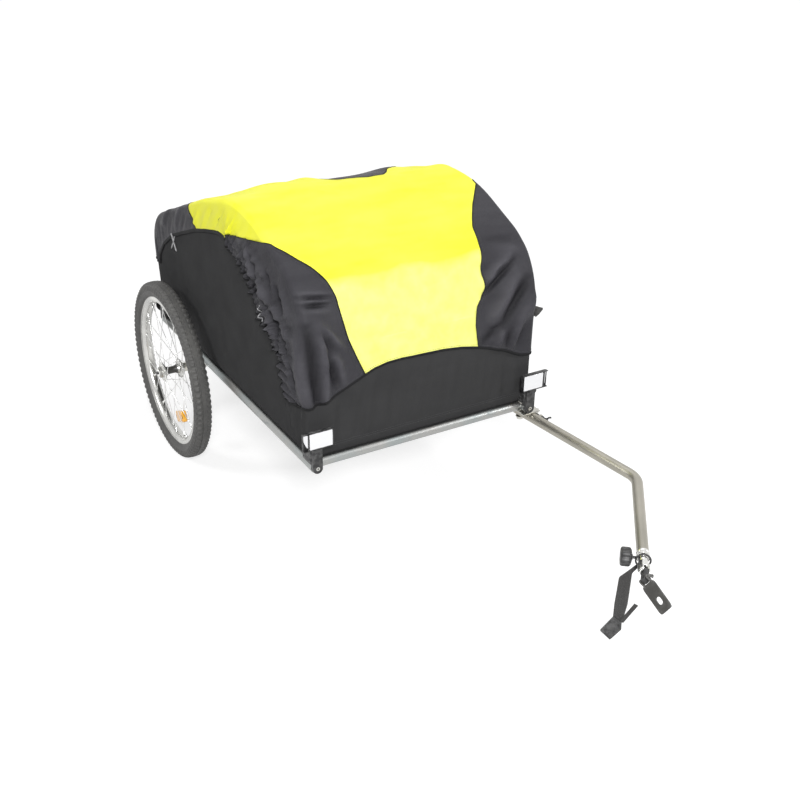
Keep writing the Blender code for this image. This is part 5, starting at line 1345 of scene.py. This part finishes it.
    def snapped(self, w: Array, t: Array) -> tuple[Array, Array, Array]:
        """Moves grid points on to the seams, so that each triangle lies wholly in one panel.

        For each edge whose ends differ in sign, the nearer end moves to the crossing, where the measure is zero.

        Returns:
            The moved w and t, and the sign of each point: 1 yellow, -1 black, 0 on a seam.
        """
        value = self.yellowness(w, t)
        value = np.where(np.abs(value) < 1e-9, 1e-9, value)
        old = stack(w, t)
        best, new = np.full(w.shape, 2.0), old.copy()
        rows, columns = w.shape
        for down, right in ((0, 1), (1, 0), (1, 1)):
            first = (slice(0, rows - down), slice(0, columns - right))
            second = (slice(down, rows), slice(right, columns))
            crossing = value[first] * value[second] < 0
            share = np.where(crossing, value[first] / (value[first] - value[second] + 1e-30), 2)
            for here, there, part in ((first, second, share), (second, first, 1 - share)):
                near = crossing & (part <= 0.5) & (part < best[here])
                best[here] = np.where(near, part, best[here])
                moved = old[here] + part[..., None] * (old[there] - old[here])
                new[here] = np.where(near[..., None], moved, new[here])
        return new[..., 0], new[..., 1], np.where(best < 1.5, 0, np.sign(value)).astype(int)

    def panels(self) -> list:
        """Cuts the skin into its panels, each an open sheet.

        Returns:
            The objects, which are yellow, front right, front left and rear, each with its area.
        """
        w, t, sign = self.snapped(*self.mesh_grid())
        flat = self.skin(w, t)[0].reshape(-1, 3)
        rise = self.rise(w, t).ravel()
        numbers = np.arange(w.size).reshape(w.shape)
        a, b, c, d = numbers[:-1, :-1], numbers[1:, :-1], numbers[1:, 1:], numbers[:-1, 1:]
        corners = np.concatenate([stack(a, c, b).reshape(-1, 3), stack(a, d, c).reshape(-1, 3)])
        total = sign.ravel()[corners].sum(1)
        middle_w, middle_t = w.ravel()[corners].mean(1), t.ravel()[corners].mean(1)
        edge = total == 0
        total[edge] = np.sign(self.yellowness(middle_w[edge], middle_t[edge]))
        start, second, third = flat[corners.T]
        face = np.cross(second - start, third - start)
        if np.sum(face * (start - self.inside)) < 0:
            corners = corners[:, ::-1]
        size = np.linalg.norm(face, axis=1) / 2
        uv = stack(self.flat_u(w), t * self.total).reshape(-1, 2)
        front = (total < 0) & (middle_t < self.rear_from)
        made = []
        for name, look, chosen in (
                ("yellow", YELLOW_CLOTH, total > 0), ("corner_right", BLACK_CLOTH, front & (middle_w < W_MIDDLE)),
                ("corner_left", BLACK_CLOTH, front & (middle_w > W_MIDDLE)),
                ("rear", BLACK_CLOTH, (total < 0) & (middle_t >= self.rear_from))):
            form = Form()
            form.triangles(flat, corners[chosen & (size > 1e-10)], uv, rise)
            item = form.piece("cover_" + name, look, "cover", "rain_cover", closed=False, sharp=70,
                              thickness=self.thickness)
            made.append((item, float(size[chosen].sum())))
        return made

    def flat_u(self, w: Array) -> Array:
        """The map's first coordinate in metres: 0.25 up a skirt, 0.022 round an arch and the span over the top."""
        return np.interp(w, (0, 1, 1.2, 3.2, 3.4, 4.4), (0, 0.25, 0.272, 0.859, 0.881, 1.131))

    def line(self, w: Array, t: Array, out: float) -> tuple[Array, Array]:
        """A line on the skin, stood off by a little, with its normals."""
        points, normal = self.skin(*np.broadcast_arrays(np.asarray(w, float), t))
        return points + normal * out, normal

    def seam_line(self, side: Side, shift: float, out: float) -> tuple[Array, Array]:
        """A front seam from the front hem to the side hem, shifted across by a share of w."""
        marks = evenly(self.seams[side] * (3, 1), 0.012)
        return self.line(np.clip(marks[:, 1] + shift, 0, W_END), marks[:, 0] / 3, out)

    def trims(self) -> list:
        """Piping round the hem, the felled seams, their stitching, the gather's loose elastic and the side tabs."""
        band, seam, thread = Form(), Form(), Form()
        share = np.linspace(0, 1, 420)
        for w, t, way in ((W_END * share, 0, ALONG), (W_END * share, 1, ALONG), (0, share, ACROSS),
                          (W_END, share, ACROSS)):
            points = evenly(self.line(w, t, 0.0003)[0], 0.004)
            wide = 0.003 + (way == ACROSS) * 0.0017 * ease((points[:, 1] - 0.385) / 0.01)
            band.rod(points, wide, way, 12, 0.45)
        across = np.linspace(0.02, 4.38, 500)
        lines = [self.seam_line(side, 0, 0.0002) for side in Side] + [self.line(across, self.rear_t(across), 0.0002)]
        for points, _ in lines:
            seam.rod(evenly(points, 0.004), 0.0013, (0.38, 0.21, 0.9), 8, 0.6)
        for side in Side:
            for shift in (0.022, 0.034):
                thread.stitches(*self.seam_line(side, side.value * shift, 0.0003))
        for w, t in ((across, self.rear_t(across) + 0.004), (across, 0.006), (across, 0.994),
                     (0.05, np.linspace(0.02, 0.98, 500)), (4.35, np.linspace(0.02, 0.98, 500))):
            thread.stitches(*self.line(w, t, 0.0003))
        made = [form.piece("cover_" + name, look, body="rain_cover", sharp=sharp)
                for form, name, look, sharp in ((band, "piping", BINDING, 60), (seam, "seams", BINDING, 60),
                                                (thread, "stitches", THREAD, 32))]
        return made + [self.tabs(), self.hooks()]

    def hooks(self) -> bpy.types.Object:
        """Bent wire ends of the elastic below the rear hem, and its free end at the gather, on each side."""
        form = Form()
        for side in Side:
            for way in (-1, 1):
                u, v = rounded_path(((-way * 0.015, 0.02), (-way * 0.0015, 0, 0.016), (way * 0.015, -0.02)), 12).T
                path = stack(side.value * (0.3122 + 0.0012 * way), 0.77 + u, 0.602 + v)
                form.rod(path, 0.0017, ACROSS, 8)
            y, z = np.array(mm((193, 632), (189, 620), (192, 610), (186, 600), (188, 594))).T
            w, t = read(np.linspace(0, 4, 41), range(5), self.locate(stack(side.value * 0.3076, y, z))).T
            form.rod(self.line(w, t, 0.0022)[0], 0.0016, ACROSS, 8, 0.6)
        return form.piece("cover_hooks", ELASTIC, body="rain_cover")

    def tabs(self) -> bpy.types.Object:
        """A folded webbing loop that stands out of the left side by the front corner, its width nearly upright."""
        cos, sin = circle(np.linspace(-math.pi / 2, math.pi / 2, 13))[..., None].transpose(1, 0, 2)
        out = 0.026 * cos ** 0.6
        wide = np.linspace(-0.0125, 0.0125, 9) * (1 - 0.88 * ease(out / 0.0285))
        form = Form()
        form.grid(stack(0.3078 + out, -0.004 + 0.003 * sin + 0.3 * wide, 0.56 + wide + 0.12 * out))
        return form.piece("cover_tabs", STRAP, body="rain_cover", closed=False, thickness=0.0008)

    def build(self) -> None:
        """Builds the panels and trims."""
        made = self.panels()
        trims = self.trims()


@dataclass
class Wheel:
    """A 20 inch wheel: knobbly tyre, polished rim, laced spokes, hub, reflector and valve."""

    side: Side
    x: float = 0.361
    radius: float = 0.249
    half: float = 0.024
    knobs: int = 92
    tread: float = 0.0026
    spokes: int = 28
    spoke_r: float = 0.001
    lacing: float = math.radians(64)
    flange_x: float = 0.024
    section_r: float = 0.2255
    section: tuple = mm(
        (11.2, 204.4), (12.5, 207), (15.2, 209.8), (18.6, 213.5), (20.7, 219.5), (21.8, 226), (22, 232),
        (20.8, 237.8), (18, 242), (14, 244.8), (9, 246.1), (4, 246.5))
    rim_section: tuple = mm(
        (6, 200.6), (11, 203.2), (12.2, 206.2), (11.8, 207.8), (12.4, 209), (13.4, 209.2), (14, 208.6), (14, 207.4),
        (13.2, 206.6), (13.2, 199), (13.9, 198.2), (13.6, 196.8), (11, 194.2), (8, 191.8), (4, 190.7))

    @property
    def centre(self) -> Array:
        """The middle of the wheel."""
        return np.array((self.side.value * self.x, *AXLE))

    @property
    def place(self) -> Array:
        """The wheel's own frame: x outward along the axle."""
        return shifted(*self.centre) @ turned(0 if self.side is Side.LEFT else math.pi, "Z")

    def piece(self, form: Form, name: str, look: Finish, node: str = "", slot: str = "",
              **more: float) -> None:
        """Makes a piece that turns with this wheel and stands for its own side's node, if it stands for one."""
        word = self.side.word
        form.piece(f"{name}_{word}", look, f"{node}_{word}" if node else "", f"wheel_{word}", slot, **more)

    def outward(self, node: str) -> Array:
        """The unit direction from the axle to a node, square to the axle."""
        low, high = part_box(f"{node}_{self.side.word}")
        way = (np.array(low) + np.array(high)) / 2 - SHIFT - self.centre
        return unit(way * (0, 1, 1))

    def build(self) -> None:
        """Builds the wheel's pieces."""
        self.tyre()
        self.rim()
        self.lace()
        self.hub()
        self.reflector()
        self.valve()

    def tyre(self) -> None:
        """A closed section carried round the axle, with blocks raised on its crown and shoulders.

        The block height is the product of a gate round the wheel and a gate across the tread; each row of blocks is
        half a pitch off its neighbours.
        """
        outside = evenly(np.array(self.section + tuple((-x, r) for x, r in reversed(self.section))), 0.0011)
        bead = evenly(np.array([outside[-1], (0, 0.2025), outside[0]]), 0.006)[1:-1]
        x, r = np.concatenate([outside, bead]).T
        angle = turns(self.knobs * 8)[:, None]
        lean = np.arctan2(np.abs(x), r - self.section_r)
        handed = np.where(x > 0, 0.5, 0)

        def gate(offset: float | Array, fill: float) -> Array:
            """Where round the wheel the blocks stand, as a share of their pitch."""
            phase = np.mod(angle * self.knobs / math.tau + offset, 1)
            return ease((fill / 2 - np.abs(phase - 0.5)) / 0.07)

        height = ease((0.24 - lean) / 0.06) * (0.8 + 0.2 * gate(0, 0.62))
        height = height + ease((lean - 0.34) / 0.05) * ease((0.84 - lean) / 0.06) * gate(0.5 + handed * 0.5, 0.56)
        shoulder = ease((lean - 0.93) / 0.06) * ease((1.62 - lean) / 0.12)
        height = height + shoulder * gate(handed + 0.25, 0.58) * 0.85
        height = np.where((r > 0.2185) & (np.arange(len(x)) < len(outside)), height, 0) * self.tread
        height = height + np.where(r < 0.2185, 0.0003 * np.sin((r - 0.205) * math.tau / 0.0034), 0)
        out_x, out_r = unit(stack(x, r - self.section_r)).T
        x = np.clip(x + out_x * height, -self.half, self.half)
        r = np.minimum(r + out_r * height, self.radius)
        form = Form()
        form.grid(placed(stack(x, r * np.cos(angle), r * np.sin(angle)), self.place), (True, True))
        self.piece(form, "tyre_tread", TYRE, "tyre", sharp=38)

    def rim(self) -> None:
        """A box section with hooked lips and a braking face, turned about the axle, with a socket at each spoke."""
        form = Form()
        form.lathe(self.rim_section + tuple((-x, r) for x, r in reversed(self.rim_section)), self.place, 144, True)
        eyelet = mm((192.2, 0), (192.2, 3.4), (190.5, 3.6), (189.8, 3), (189.8, 0))
        for number, way in enumerate(circle(math.radians(2) + turns(self.spokes))):
            socket = frame_at((0.003 if number % 2 else -0.003, 0, 0), (0, *way), ACROSS)
            form.lathe(eyelet, self.place @ socket, 12)
        self.piece(form, "rim", RIM_ALLOY, "wheel", sharp=35)

    def lace(self) -> None:
        """Laced spokes: each leaves its flange with a bent head and meets the rim in a nipple."""
        form = Form()
        sizes = np.array([0.0018] + [self.spoke_r] * 9)
        for number, rim_turn in enumerate(math.radians(2) + turns(self.spokes)):
            side = 1 if number % 2 else -1
            lean = 1 if (number // 2) % 2 else -1
            hub_x = side * (self.flange_x + lean * 0.0026)
            start = np.array([hub_x, *0.0235 * circle(rim_turn + lean * self.lacing)])
            end = np.array([side * 0.003, *0.1915 * circle(rim_turn)])
            way = unit(end - start)
            inward = np.array([side * lean, 0, 0])
            path = np.concatenate([[start - inward * 0.0045, start - inward * 0.0008, start + way * 0.0012],
                                   start + (end - start) * np.linspace(0.03, 0.94, 6)[:, None], [end]])
            form.rod(path, sizes, (0.31, 0.62, 0.42), 8, matrix=self.place)
            nipple = end - way * np.array([0.0135, 0.0125, 0.006, 0.0055, 0])[:, None]
            form.rod(nipple, np.array([0.0012, 0.0019, 0.0021, 0.0026, 0.0027]), (0.31, 0.62, 0.42), 8,
                     matrix=self.place)
        self.piece(form, "spokes", SPOKE_WIRE, sharp=45)

    def hub(self) -> None:
        """Two polished flanges on a dark barrel, with a dust cap over each bearing."""
        flanges, barrel = Form(), Form()
        profile = mm((15, 13.8), (20, 15.2), (21.8, 19), (21.8, 26.2), (22.6, 27), (25.4, 27), (26.2, 26.2),
                     (26.2, 17.6), (27.6, 15.8), (33.8, 15.4), (34, 15), (34, 14.6), (26.2, 14.2), (26.2, 8.4),
                     (15, 8.4))
        for way in (-1, 1):
            flanges.lathe([(way * x, r) for x, r in profile], self.place, 64, True)
            stud = [(0, 0), (-0.0004, 0.0018), (0.0004 * way, 0.0015), (0.0007 * way, 0)]
            for spot in circle(turns(14) + math.pi / 14):
                origin = (way * (self.flange_x + 0.0022), *0.0225 * spot)
                flanges.lathe(stud, self.place @ frame_at(origin, ACROSS, ALONG), 8)
        self.piece(flanges, "hub_flanges", RIM_ALLOY)
        barrel.lathe(mm((-15.2, 8.4), (-15.2, 12.8), (-12, 11.2), (-6, 10), (6, 10), (12, 11.2), (15.2, 12.8),
                        (15.2, 8.4)), self.place, 48, True)
        self.piece(barrel, "hub_barrel", BLACK_STEEL)

    def reflector(self) -> None:
        """An amber block clipped between two spokes, with a rim round its face and a black clip behind."""
        radial = self.outward("spoke_reflector")
        face = frame_at(self.centre + 0.132 * radial, np.cross(radial, ACROSS) * -1, radial)
        form, clip = Form(), Form()
        form.block((0.03, 0.016, 0.006, 5), (0, 0), -0.0062, 0.0062, face)
        form.block((0.025, 0.0125, 0.004, 4), (0, 0), -0.0072, 0.0072, face)
        self.piece(form, "amber_reflector", AMBER_LENS, "spoke_reflector", bevel=0.0011)
        for spot in (-0.0272, 0.0272):
            clip.block((0.0014, 0.006, 0.0006, 3), (spot, 0), -0.007, 0.007, face)
        self.piece(clip, "reflector_clip", BLACK_PLASTIC, bevel=0.0006)

    def valve(self) -> None:
        """A stem with a ring nut at the rim and a ribbed cap."""
        profile = mm((189.8, 0), (189.8, 2.8), (188, 2.8), (187.8, 2.1), (174, 2.1), (173.8, 2.8), (164, 2.7),
                     (161.2, 2), (160.4, 0))
        form = Form()
        form.lathe(profile, frame_at(self.centre, self.outward("valve"), ACROSS), 20)
        self.piece(form, "valve_stem", BLACK_PLASTIC, "valve", "tyre_rubber")


@dataclass
class Reflectors:
    """The white front lenses on their backings and the round red rear ones."""

    height: float = 0.393
    wide: float = 0.07
    tall: float = 0.04
    face_y: float = -0.0338
    bar_at: float = 0.0125
    border: float = 0.0015
    rear_z: float = 0.35

    def build(self) -> None:
        """Builds both pairs."""
        for side in Side:
            self.front(side)
            self.rear(side)

    def front(self, side: Side) -> None:
        """A lens in a shallow tray: its face, a dark bar, and a white facet that turns back round the corner."""
        out, border = side.value, self.border
        half, rise = self.wide / 2, self.tall / 2
        flat = shifted(out * (FRAME_HALF + 0.002), self.face_y - 2 * GAP, self.height) @ UPRIGHT
        face, tray = Form(), Form()
        face.block((half - self.bar_at / 2 - 0.0006, rise - 0.0006, 0.0022, 4), (-out * self.bar_at / 2, 0), 0.0032,
                   0.0109, flat)
        u, v, depth = np.array(mm((26.5, 19, 10.8), (34.6, 19, 4.6), (34.6, 3, 4.6), (29, -12, 9),
                                  (26.5, -12, 10.8))).T
        face.grid(placed(np.stack([stack(out * u, v, 0.0031), stack(out * u, v, depth)]), flat), (False, True), True)
        face.piece(f"front_lens_{side.word}", WHITE_LENS, f"reflector_lens_{side.word}",
                   bevel=0.0009)
        tray.block((half + border, rise + border, 0.003, 4), (0, 0), 0, 0.003, flat)
        tray.block((0.0102, 0.009, 0.003, 3), (0, -rise - border - 0.004), 0, 0.003, flat)
        for way in (1, -1):
            tray.block((half + border, border / 2, border * 0.25, 2), (0, way * (rise + border / 2 + 0.0002)),
                       0.0025, 0.0112, flat)
        for spot, deep, thick in ((-half - border / 2, 0.0112, border / 2), (half + border * 0.6, 0.0056, 0.0004),
                                  (half - self.bar_at + 0.0022, 0.0112, 0.0017)):
            tray.block((thick, rise + border, thick * 0.3, 2), (out * spot, 0), 0.0025, deep, flat)
        tray.piece(f"front_lens_tray_{side.word}", BLACK_PLASTIC, f"reflector_backing_{side.word}", bevel=0.0003)

    def rear(self, side: Side) -> None:
        """A domed red disc in a black cup on the rear knuckle's boss."""
        y = FRAME_LENGTH + RAIL_OVERHANG + 3 * GAP + BOSS_THICK
        place = shifted(side.value * FRAME_HALF, y, self.rear_z) @ QUARTER
        lens, cup = Form(), Form()
        lens.lathe(mm((3, 0), (3, 19.2), (6.2, 19), (7.4, 16), (7.9, 10.5), (8, 0)), place)
        lens.piece(f"rear_lens_{side.word}", RED_LENS, f"rear_reflector_{side.word}")
        cup.lathe(mm((0, 0), (0, 20), (1.2, 21), (6.4, 21), (7, 20.4), (6.4, 19.4), (3.2, 19.3), (2.6, 0)), place)
        cup.piece(f"rear_lens_cup_{side.word}", BLACK_PLASTIC)


@dataclass
class TowArm:
    """The bent tow arm on its pivot, the lock pin with its lever, and the frames that the hitch hangs on."""

    pivot: tuple = (0.3035, 0.018, 0.2815)
    splay: float = math.radians(5.5)
    turn: float = math.radians(44.6)
    first: float = 0.398
    second: float = 0.302
    bend_r: float = 0.062
    stub: float = 0.014
    wall: float = 0.0016
    lock_out: float = 0.0205

    @staticmethod
    def heading(turn: float) -> Array:
        """A level unit direction turned inward from straight ahead."""
        return np.array([-math.sin(turn), -math.cos(turn), 0])

    @property
    def end(self) -> Array:
        """The arm's front end."""
        return (np.array(self.pivot) + self.heading(-self.splay) * self.first
                + self.heading(self.turn - self.splay) * self.second)

    @property
    def hitch(self) -> Array:
        """The frame at the arm's end: y on along the arm, x to its inner side."""
        ahead = self.heading(self.turn - self.splay)
        return frame_at(self.end, np.cross(ahead, UP), ahead)

    @property
    def along(self) -> Array:
        """The frame at the pivot: y forward along the arm's first leg, x to its inner side."""
        ahead = self.heading(-self.splay)
        return frame_at(self.pivot, np.cross(ahead, UP), ahead)

    def build(self) -> None:
        """Builds the tube, the lug and the lock pin."""
        pivot, ahead = np.array(self.pivot), self.heading(-self.splay)
        bend = pivot + ahead * self.first
        corners = ((pivot - ahead * self.stub)[:2], (*bend[:2], self.bend_r), self.end[:2])
        u, v = evenly(rounded_path(corners, 2), 0.006).T
        form = Form()
        form.tube(stack(u, v, pivot[2]), TUBE_R, TUBE_R - self.wall, UP, 40)
        form.block((0.0046, 0.004, 0.0014, 3), (0.0004 - self.lock_out, 0.054), -0.004, 0.004, self.along)
        form.block((0.0045, 0.0036, 0.001, 3), (0.008 - self.lock_out, 0.054), -0.0034, 0.0034, self.along)
        form.piece("arm_tube", ARM_ALLOY, "tow_arm", "arm", bevel=0.0004)
        self.lock()

    def lock(self) -> None:
        """The spring pin: tip, shank, grip collar and the black lever on its end."""
        place = self.along @ shifted(-self.lock_out, 0, 0)
        profile = mm((34.5, 0), (34.5, 2), (35.5, 2.9), (58.6, 2.9), (58.8, 4.4), (62.4, 4.4), (64, 3), (76, 3),
                     (79, 2.4), (79.4, 0))
        form = Form()
        form.lathe(profile, place @ QUARTER, 24)
        u, v = rounded_path(mm((0, 66, 0), (-6, 74, 6), (-13, 78, 0))).T
        lever = evenly(stack(u, v, np.linspace(0, 0.004, len(u))), 0.0015)
        form.rod(placed(lever, place), np.linspace(0.003, 0.0036, len(lever)), UP, 14, 0.55)
        form.piece("lock_lever", BLACK_PLASTIC, "arm_lock_pin", "lock_pin", "zinc_steel", bevel=0.0003)


@dataclass
class Hitch:
    """Everything past the arm's end: collar, clamping knob, swivel fork, link, slotted plate, pins and strap."""

    arm: TowArm = field(default_factory=TowArm)
    roll: float = math.radians(55)
    link_long: float = 0.028
    link_half: float = 0.0065
    ear_in: float = 0.0071
    ear: float = 0.0035
    yaw_y: float = 0.056
    pitch: float = math.radians(45)
    ring_forward: float = 0.0165

    @property
    def swivel(self) -> Array:
        """The swivel head's frame."""
        return self.arm.hitch @ turned(self.roll, "Y")

    @property
    def plate_frame(self) -> Array:
        """The axle plate's frame, at the far pin."""
        return self.swivel @ shifted(0, self.yaw_y + self.link_long, 0) @ turned(-self.pitch, "X")

    def build(self) -> None:
        """Builds the hitch from the arm outwards."""
        self.collar()
        self.knob()
        self.fork()
        self.link()
        self.plate()
        self.pin()
        self.strap()

    def ears(self, form: Form, outline: Array, place: Array) -> None:
        """Two plates of the same outline, one on each side of the link."""
        for way in (-1, 1):
            form.prism(outline, *sorted((way * self.ear_in, way * (self.ear_in + self.ear))), place)

    def collar(self) -> None:
        """A bright band with rolled edges over the arm's end."""
        form = Form()
        form.lathe(mm((-6, 13), (-6, 13.5), (-5.4, 14.1), (0, 14.1), (0.6, 13.7), (1.2, 14.1), (9.4, 14.1),
                      (10, 13.5), (10, 11.1), (0.6, 11.1), (0.6, 13)), self.arm.hitch @ QUARTER, 56, True)
        form.piece("arm_collar", BRIGHT, "hitch_collar", "arm", sharp=35)

    def knob(self) -> None:
        """A six-lobed knob: each ring's radius dips between the lobes by a raised cosine, on a threaded stem."""
        x, r = np.array(mm((11, 0), (11, 3), (20.5, 3), (20.8, 6.5), (22.2, 6.8), (22.2, 10.5), (23.6, 16),
                           (26.2, 19.4), (29, 20), (41.5, 20), (44, 18.8), (45.4, 16.4), (45.6, 9.5), (45, 7),
                           (45, 0))).T
        angle = turns(96)[:, None]
        dip = 0.13 * (0.5 - 0.5 * np.cos(6 * angle)) ** 1.4
        r = r * (1 - dip * ease((r - 0.0085) / 0.005))
        form = Form()
        points = stack(x, r * np.cos(angle), r * np.sin(angle))
        form.grid(placed(points, self.arm.hitch @ shifted(0, 0.005, -0.004)), (True, False))
        form.piece("clamp_knob", BLACK_PLASTIC, "hitch_knob", "knob", sharp=40)

    def fork(self) -> None:
        """The swivel: a turned shank and neck, and two rounded ears with the yaw pin's hole ringed by a boss."""
        place = self.swivel
        form, pin = Form(), Form()
        form.lathe(mm((-30, 0), (-30, 9.5), (-28, 10.5), (10, 10.5), (10.4, 10.4), (12, 10.4), (13, 9.8), (33, 9.8),
                      (36, 9.2), (44, 8.5), (44.4, 7), (44.4, 0)), place @ QUARTER)
        ends = 0.008 * circle(np.linspace(0, math.pi, 13)) + (0, self.yaw_y)
        self.ears(form, np.concatenate([[(0.008, 0.03)], ends, [(-0.008, 0.03)]]), place)
        form.piece("swivel_fork", BRIGHT, "hitch_swivel", "swivel", "zinc_steel", bevel=0.0006)
        half = mm((10.9, 3), (10.9, 4.5), (12.1, 3.8), (12.1, 0))
        up = place @ shifted(0, self.yaw_y, 0) @ turned(-math.pi / 2, "Y")
        pin.lathe([(-x, r) for x, r in reversed(half)] + list(half), up, 28)
        pin.piece("yaw_rivet", ZINC, "yaw_pin", "swivel")

    def link(self) -> None:
        """A small block with a waist between its two pins."""
        rows = np.linspace(-0.005, self.link_long + 0.005, 15)[:, None]
        centre = self.link_long / 2
        waist = 1 - 0.16 * bell(rows - centre, 0.006)
        ends = np.sqrt(1 - np.clip((np.abs(rows - centre) - centre) / 0.0055, 0, 1) ** 2)
        u, v = rounded_rectangle(self.link_half, self.link_half, 0.0018, 4).T
        points = stack(u * waist * (0.55 + 0.45 * ends), rows, v * waist)
        form = Form()
        form.grid(placed(points, self.swivel @ shifted(0, self.yaw_y, 0)), (False, True), caps=True)
        form.piece("swivel_link", BLACK_PLASTIC, "hitch_link", "link", "zinc_steel", sharp=50, bevel=0.0004)

    def plate(self) -> None:
        """The slotted plate: a ring of quads between its rounded outline and the slot, and two ears at the pin."""
        start, half, thick, round_ = 0.0092, np.array((0.0155, 0.0324)), 0.0035 / 2, 0.005
        angle = turns(64) + math.pi / 64
        way = circle(angle)
        local = way * (half / np.maximum(np.abs(way), 1e-6)).min(-1, keepdims=True)
        excess = np.maximum(np.abs(local) - (half - round_), 0)
        far = np.linalg.norm(excess, axis=-1, keepdims=True)
        pull = np.where(far > round_, excess / np.maximum(far, 1e-9) * round_, excess)
        outer = np.sign(local) * (np.minimum(np.abs(local), half - round_) + pull) + (0, start + half[1])
        slot = 0.0052 * way + stack(0, 0.05 + np.sign(way[:, 1]) * 0.003)
        middle = (slot + outer) / 2
        loops = ((slot, -thick), (middle, -thick), (outer, -thick), (outer, thick), (middle, thick), (slot, thick))
        form = Form()
        form.grid(placed(np.stack([stack(*ring.T, z) for ring, z in loops]), self.plate_frame), (True, True))
        ear = np.concatenate([[(start + 0.004, thick), (start + 0.004, -thick)],
                              self.link_half * circle(np.radians(-90 - 15 * np.arange(13)))])
        self.ears(form, ear, self.plate_frame @ FLAT)
        form.piece("axle_plate_slotted", BLACK_STEEL, "axle_plate", "plate", bevel=0.0006)

    def pin(self) -> None:
        """A pull pin whose handle is bent back along the plate."""
        corners = mm((11.2, 0), (-14.2, 0, 3.6), (-14.2, -11, 7), (-8, -18))
        u, v = evenly(rounded_path(corners, 8), 0.0012).T
        path = stack(u, 0, v)
        sizes = np.interp(run_lengths(path), (0, 0.026, 0.03, 1), (0.003, 0.003, 0.0024, 0.0022))
        form = Form()
        form.rod(path, sizes, ALONG, 20, matrix=self.plate_frame)
        form.piece("pull_pin_wire", BLACK_STEEL, "hitch_pin", "pull_pin", sharp=60, bevel=0.0006)

    def strap(self) -> None:
        """The ring, the webbing that hangs from it in a slow curl, its folded end and the buckle."""
        at = self.arm.hitch @ shifted(0, self.ring_forward, 0)
        wire, big = 0.002, 0.015
        cos, sin = circle(turns(56)).T
        radial = stack(cos, 0, sin)
        centres = radial * big - (0, 0, big - wire - 0.0111)
        loop, form, buckle, tail = Form(), Form(), Form(), Form()
        loop.grid(placed(rings(centres, radial, np.array([[0, 1, 0]]), wire, 12), at), (True, True))
        loop.piece("ring", BLACK_PLASTIC, "strap_ring", "arm")
        places = np.linspace(0, 1, 60)

        def edge(*marks: tuple) -> Array:
            """One edge of the webbing, its corners rounded off by the mean of three neighbours."""
            runs = run_lengths(np.array(mm(*marks)))
            line = np.pad(read(places, runs / runs[-1], mm(*marks)), ((1, 1), (0, 0)), "edge")
            return (line[:-2] + line[1:-1] + line[2:]) / 3

        left = edge((11, -12.5), (44, -47), (46.5, -114), (45.8, -153))[:, None]
        right = edge((5.5, -17.5), (18.5, -35), (19.5, -114), (25.8, -166.5))[:, None]
        share = np.linspace(0, 1, 11)
        u, v = np.moveaxis(left + (right - left) * share[:, None], -1, 0)
        down = places[:, None]
        curl = 0.003 * np.sin(math.pi * share) * np.sin(down * 2.6) + 0.0035 * np.sin(down * math.pi * 1.1)
        form.grid(placed(stack(u, curl - 0.0008, v), at), away=placed(np.array([0.03, -0.3, -0.08]), at))
        webbing = form.piece("webbing", STRAP, "safety_strap", "arm", closed=False,
                             thickness=0.0014)
        outline = np.array(mm((26.5, -161.2), (25.5, -181), (46.4, -211), (69, -189), (45, -149.2)))
        middle = outline.mean(0)
        buckle.prism(outline, -0.0024, 0.0024, at @ UPRIGHT)
        buckle.prism(middle + (outline - middle) * 0.8, -0.0034, 0.0034, at @ UPRIGHT)
        end = buckle.piece("strap_end_buckle", BLACK_PLASTIC, "strap_buckle", "arm", bevel=0.0012)
        line = rounded_path(mm((27.5, -160), (17, -140, 40), (2, -112)), 6)
        strip = line[:, None] + unit(leftward(headings(line)))[:, None] * np.linspace(-0.0045, 0.0045, 5)[:, None]
        tail.grid(placed(stack(strip[..., 0], 0.0012, strip[..., 1]), at))
        folded = tail.piece("strap_tail", STRAP, body="arm", closed=False, thickness=0.0014)


def dress_nodes() -> None:
    """Gives every node that still shows its own procedural finish."""
    looks = {"hub_bearing": ZINC, "axle_receiver": ZINC, "stub_axle": BRIGHT, "release_button": BLACK_PLASTIC,
             "carrier_bolt": ZINC, "pivot_bolt": ZINC, "arm_bracket": ZINC, "arm_end_plug": BLACK_PLASTIC,
             "floor_panel": FLOOR_BOARD}
    for name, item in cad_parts.items():
        if item.hide_render:
            continue
        look = next((finish for start, finish in looks.items() if name.startswith(start)), None)
        if look is None:
            LOG.warning("no finish for %s", name)
            continue
        item.data.materials.clear()
        item.data.materials.append(look.material())


def main() -> None:
    """Builds the trailer from the frame outwards."""
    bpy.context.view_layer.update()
    arm = TowArm()
    for part in (Studio(), BaseFrame(), Tub(), RainCover(), Wheel(Side.RIGHT), Wheel(Side.LEFT), Reflectors(), arm,
                 Hitch(arm)):
        part.build()
        LOG.info("built %s", type(part).__name__)
    dress_nodes()


if __name__ == "__main__":
    logging.basicConfig(level=logging.INFO)
    main()
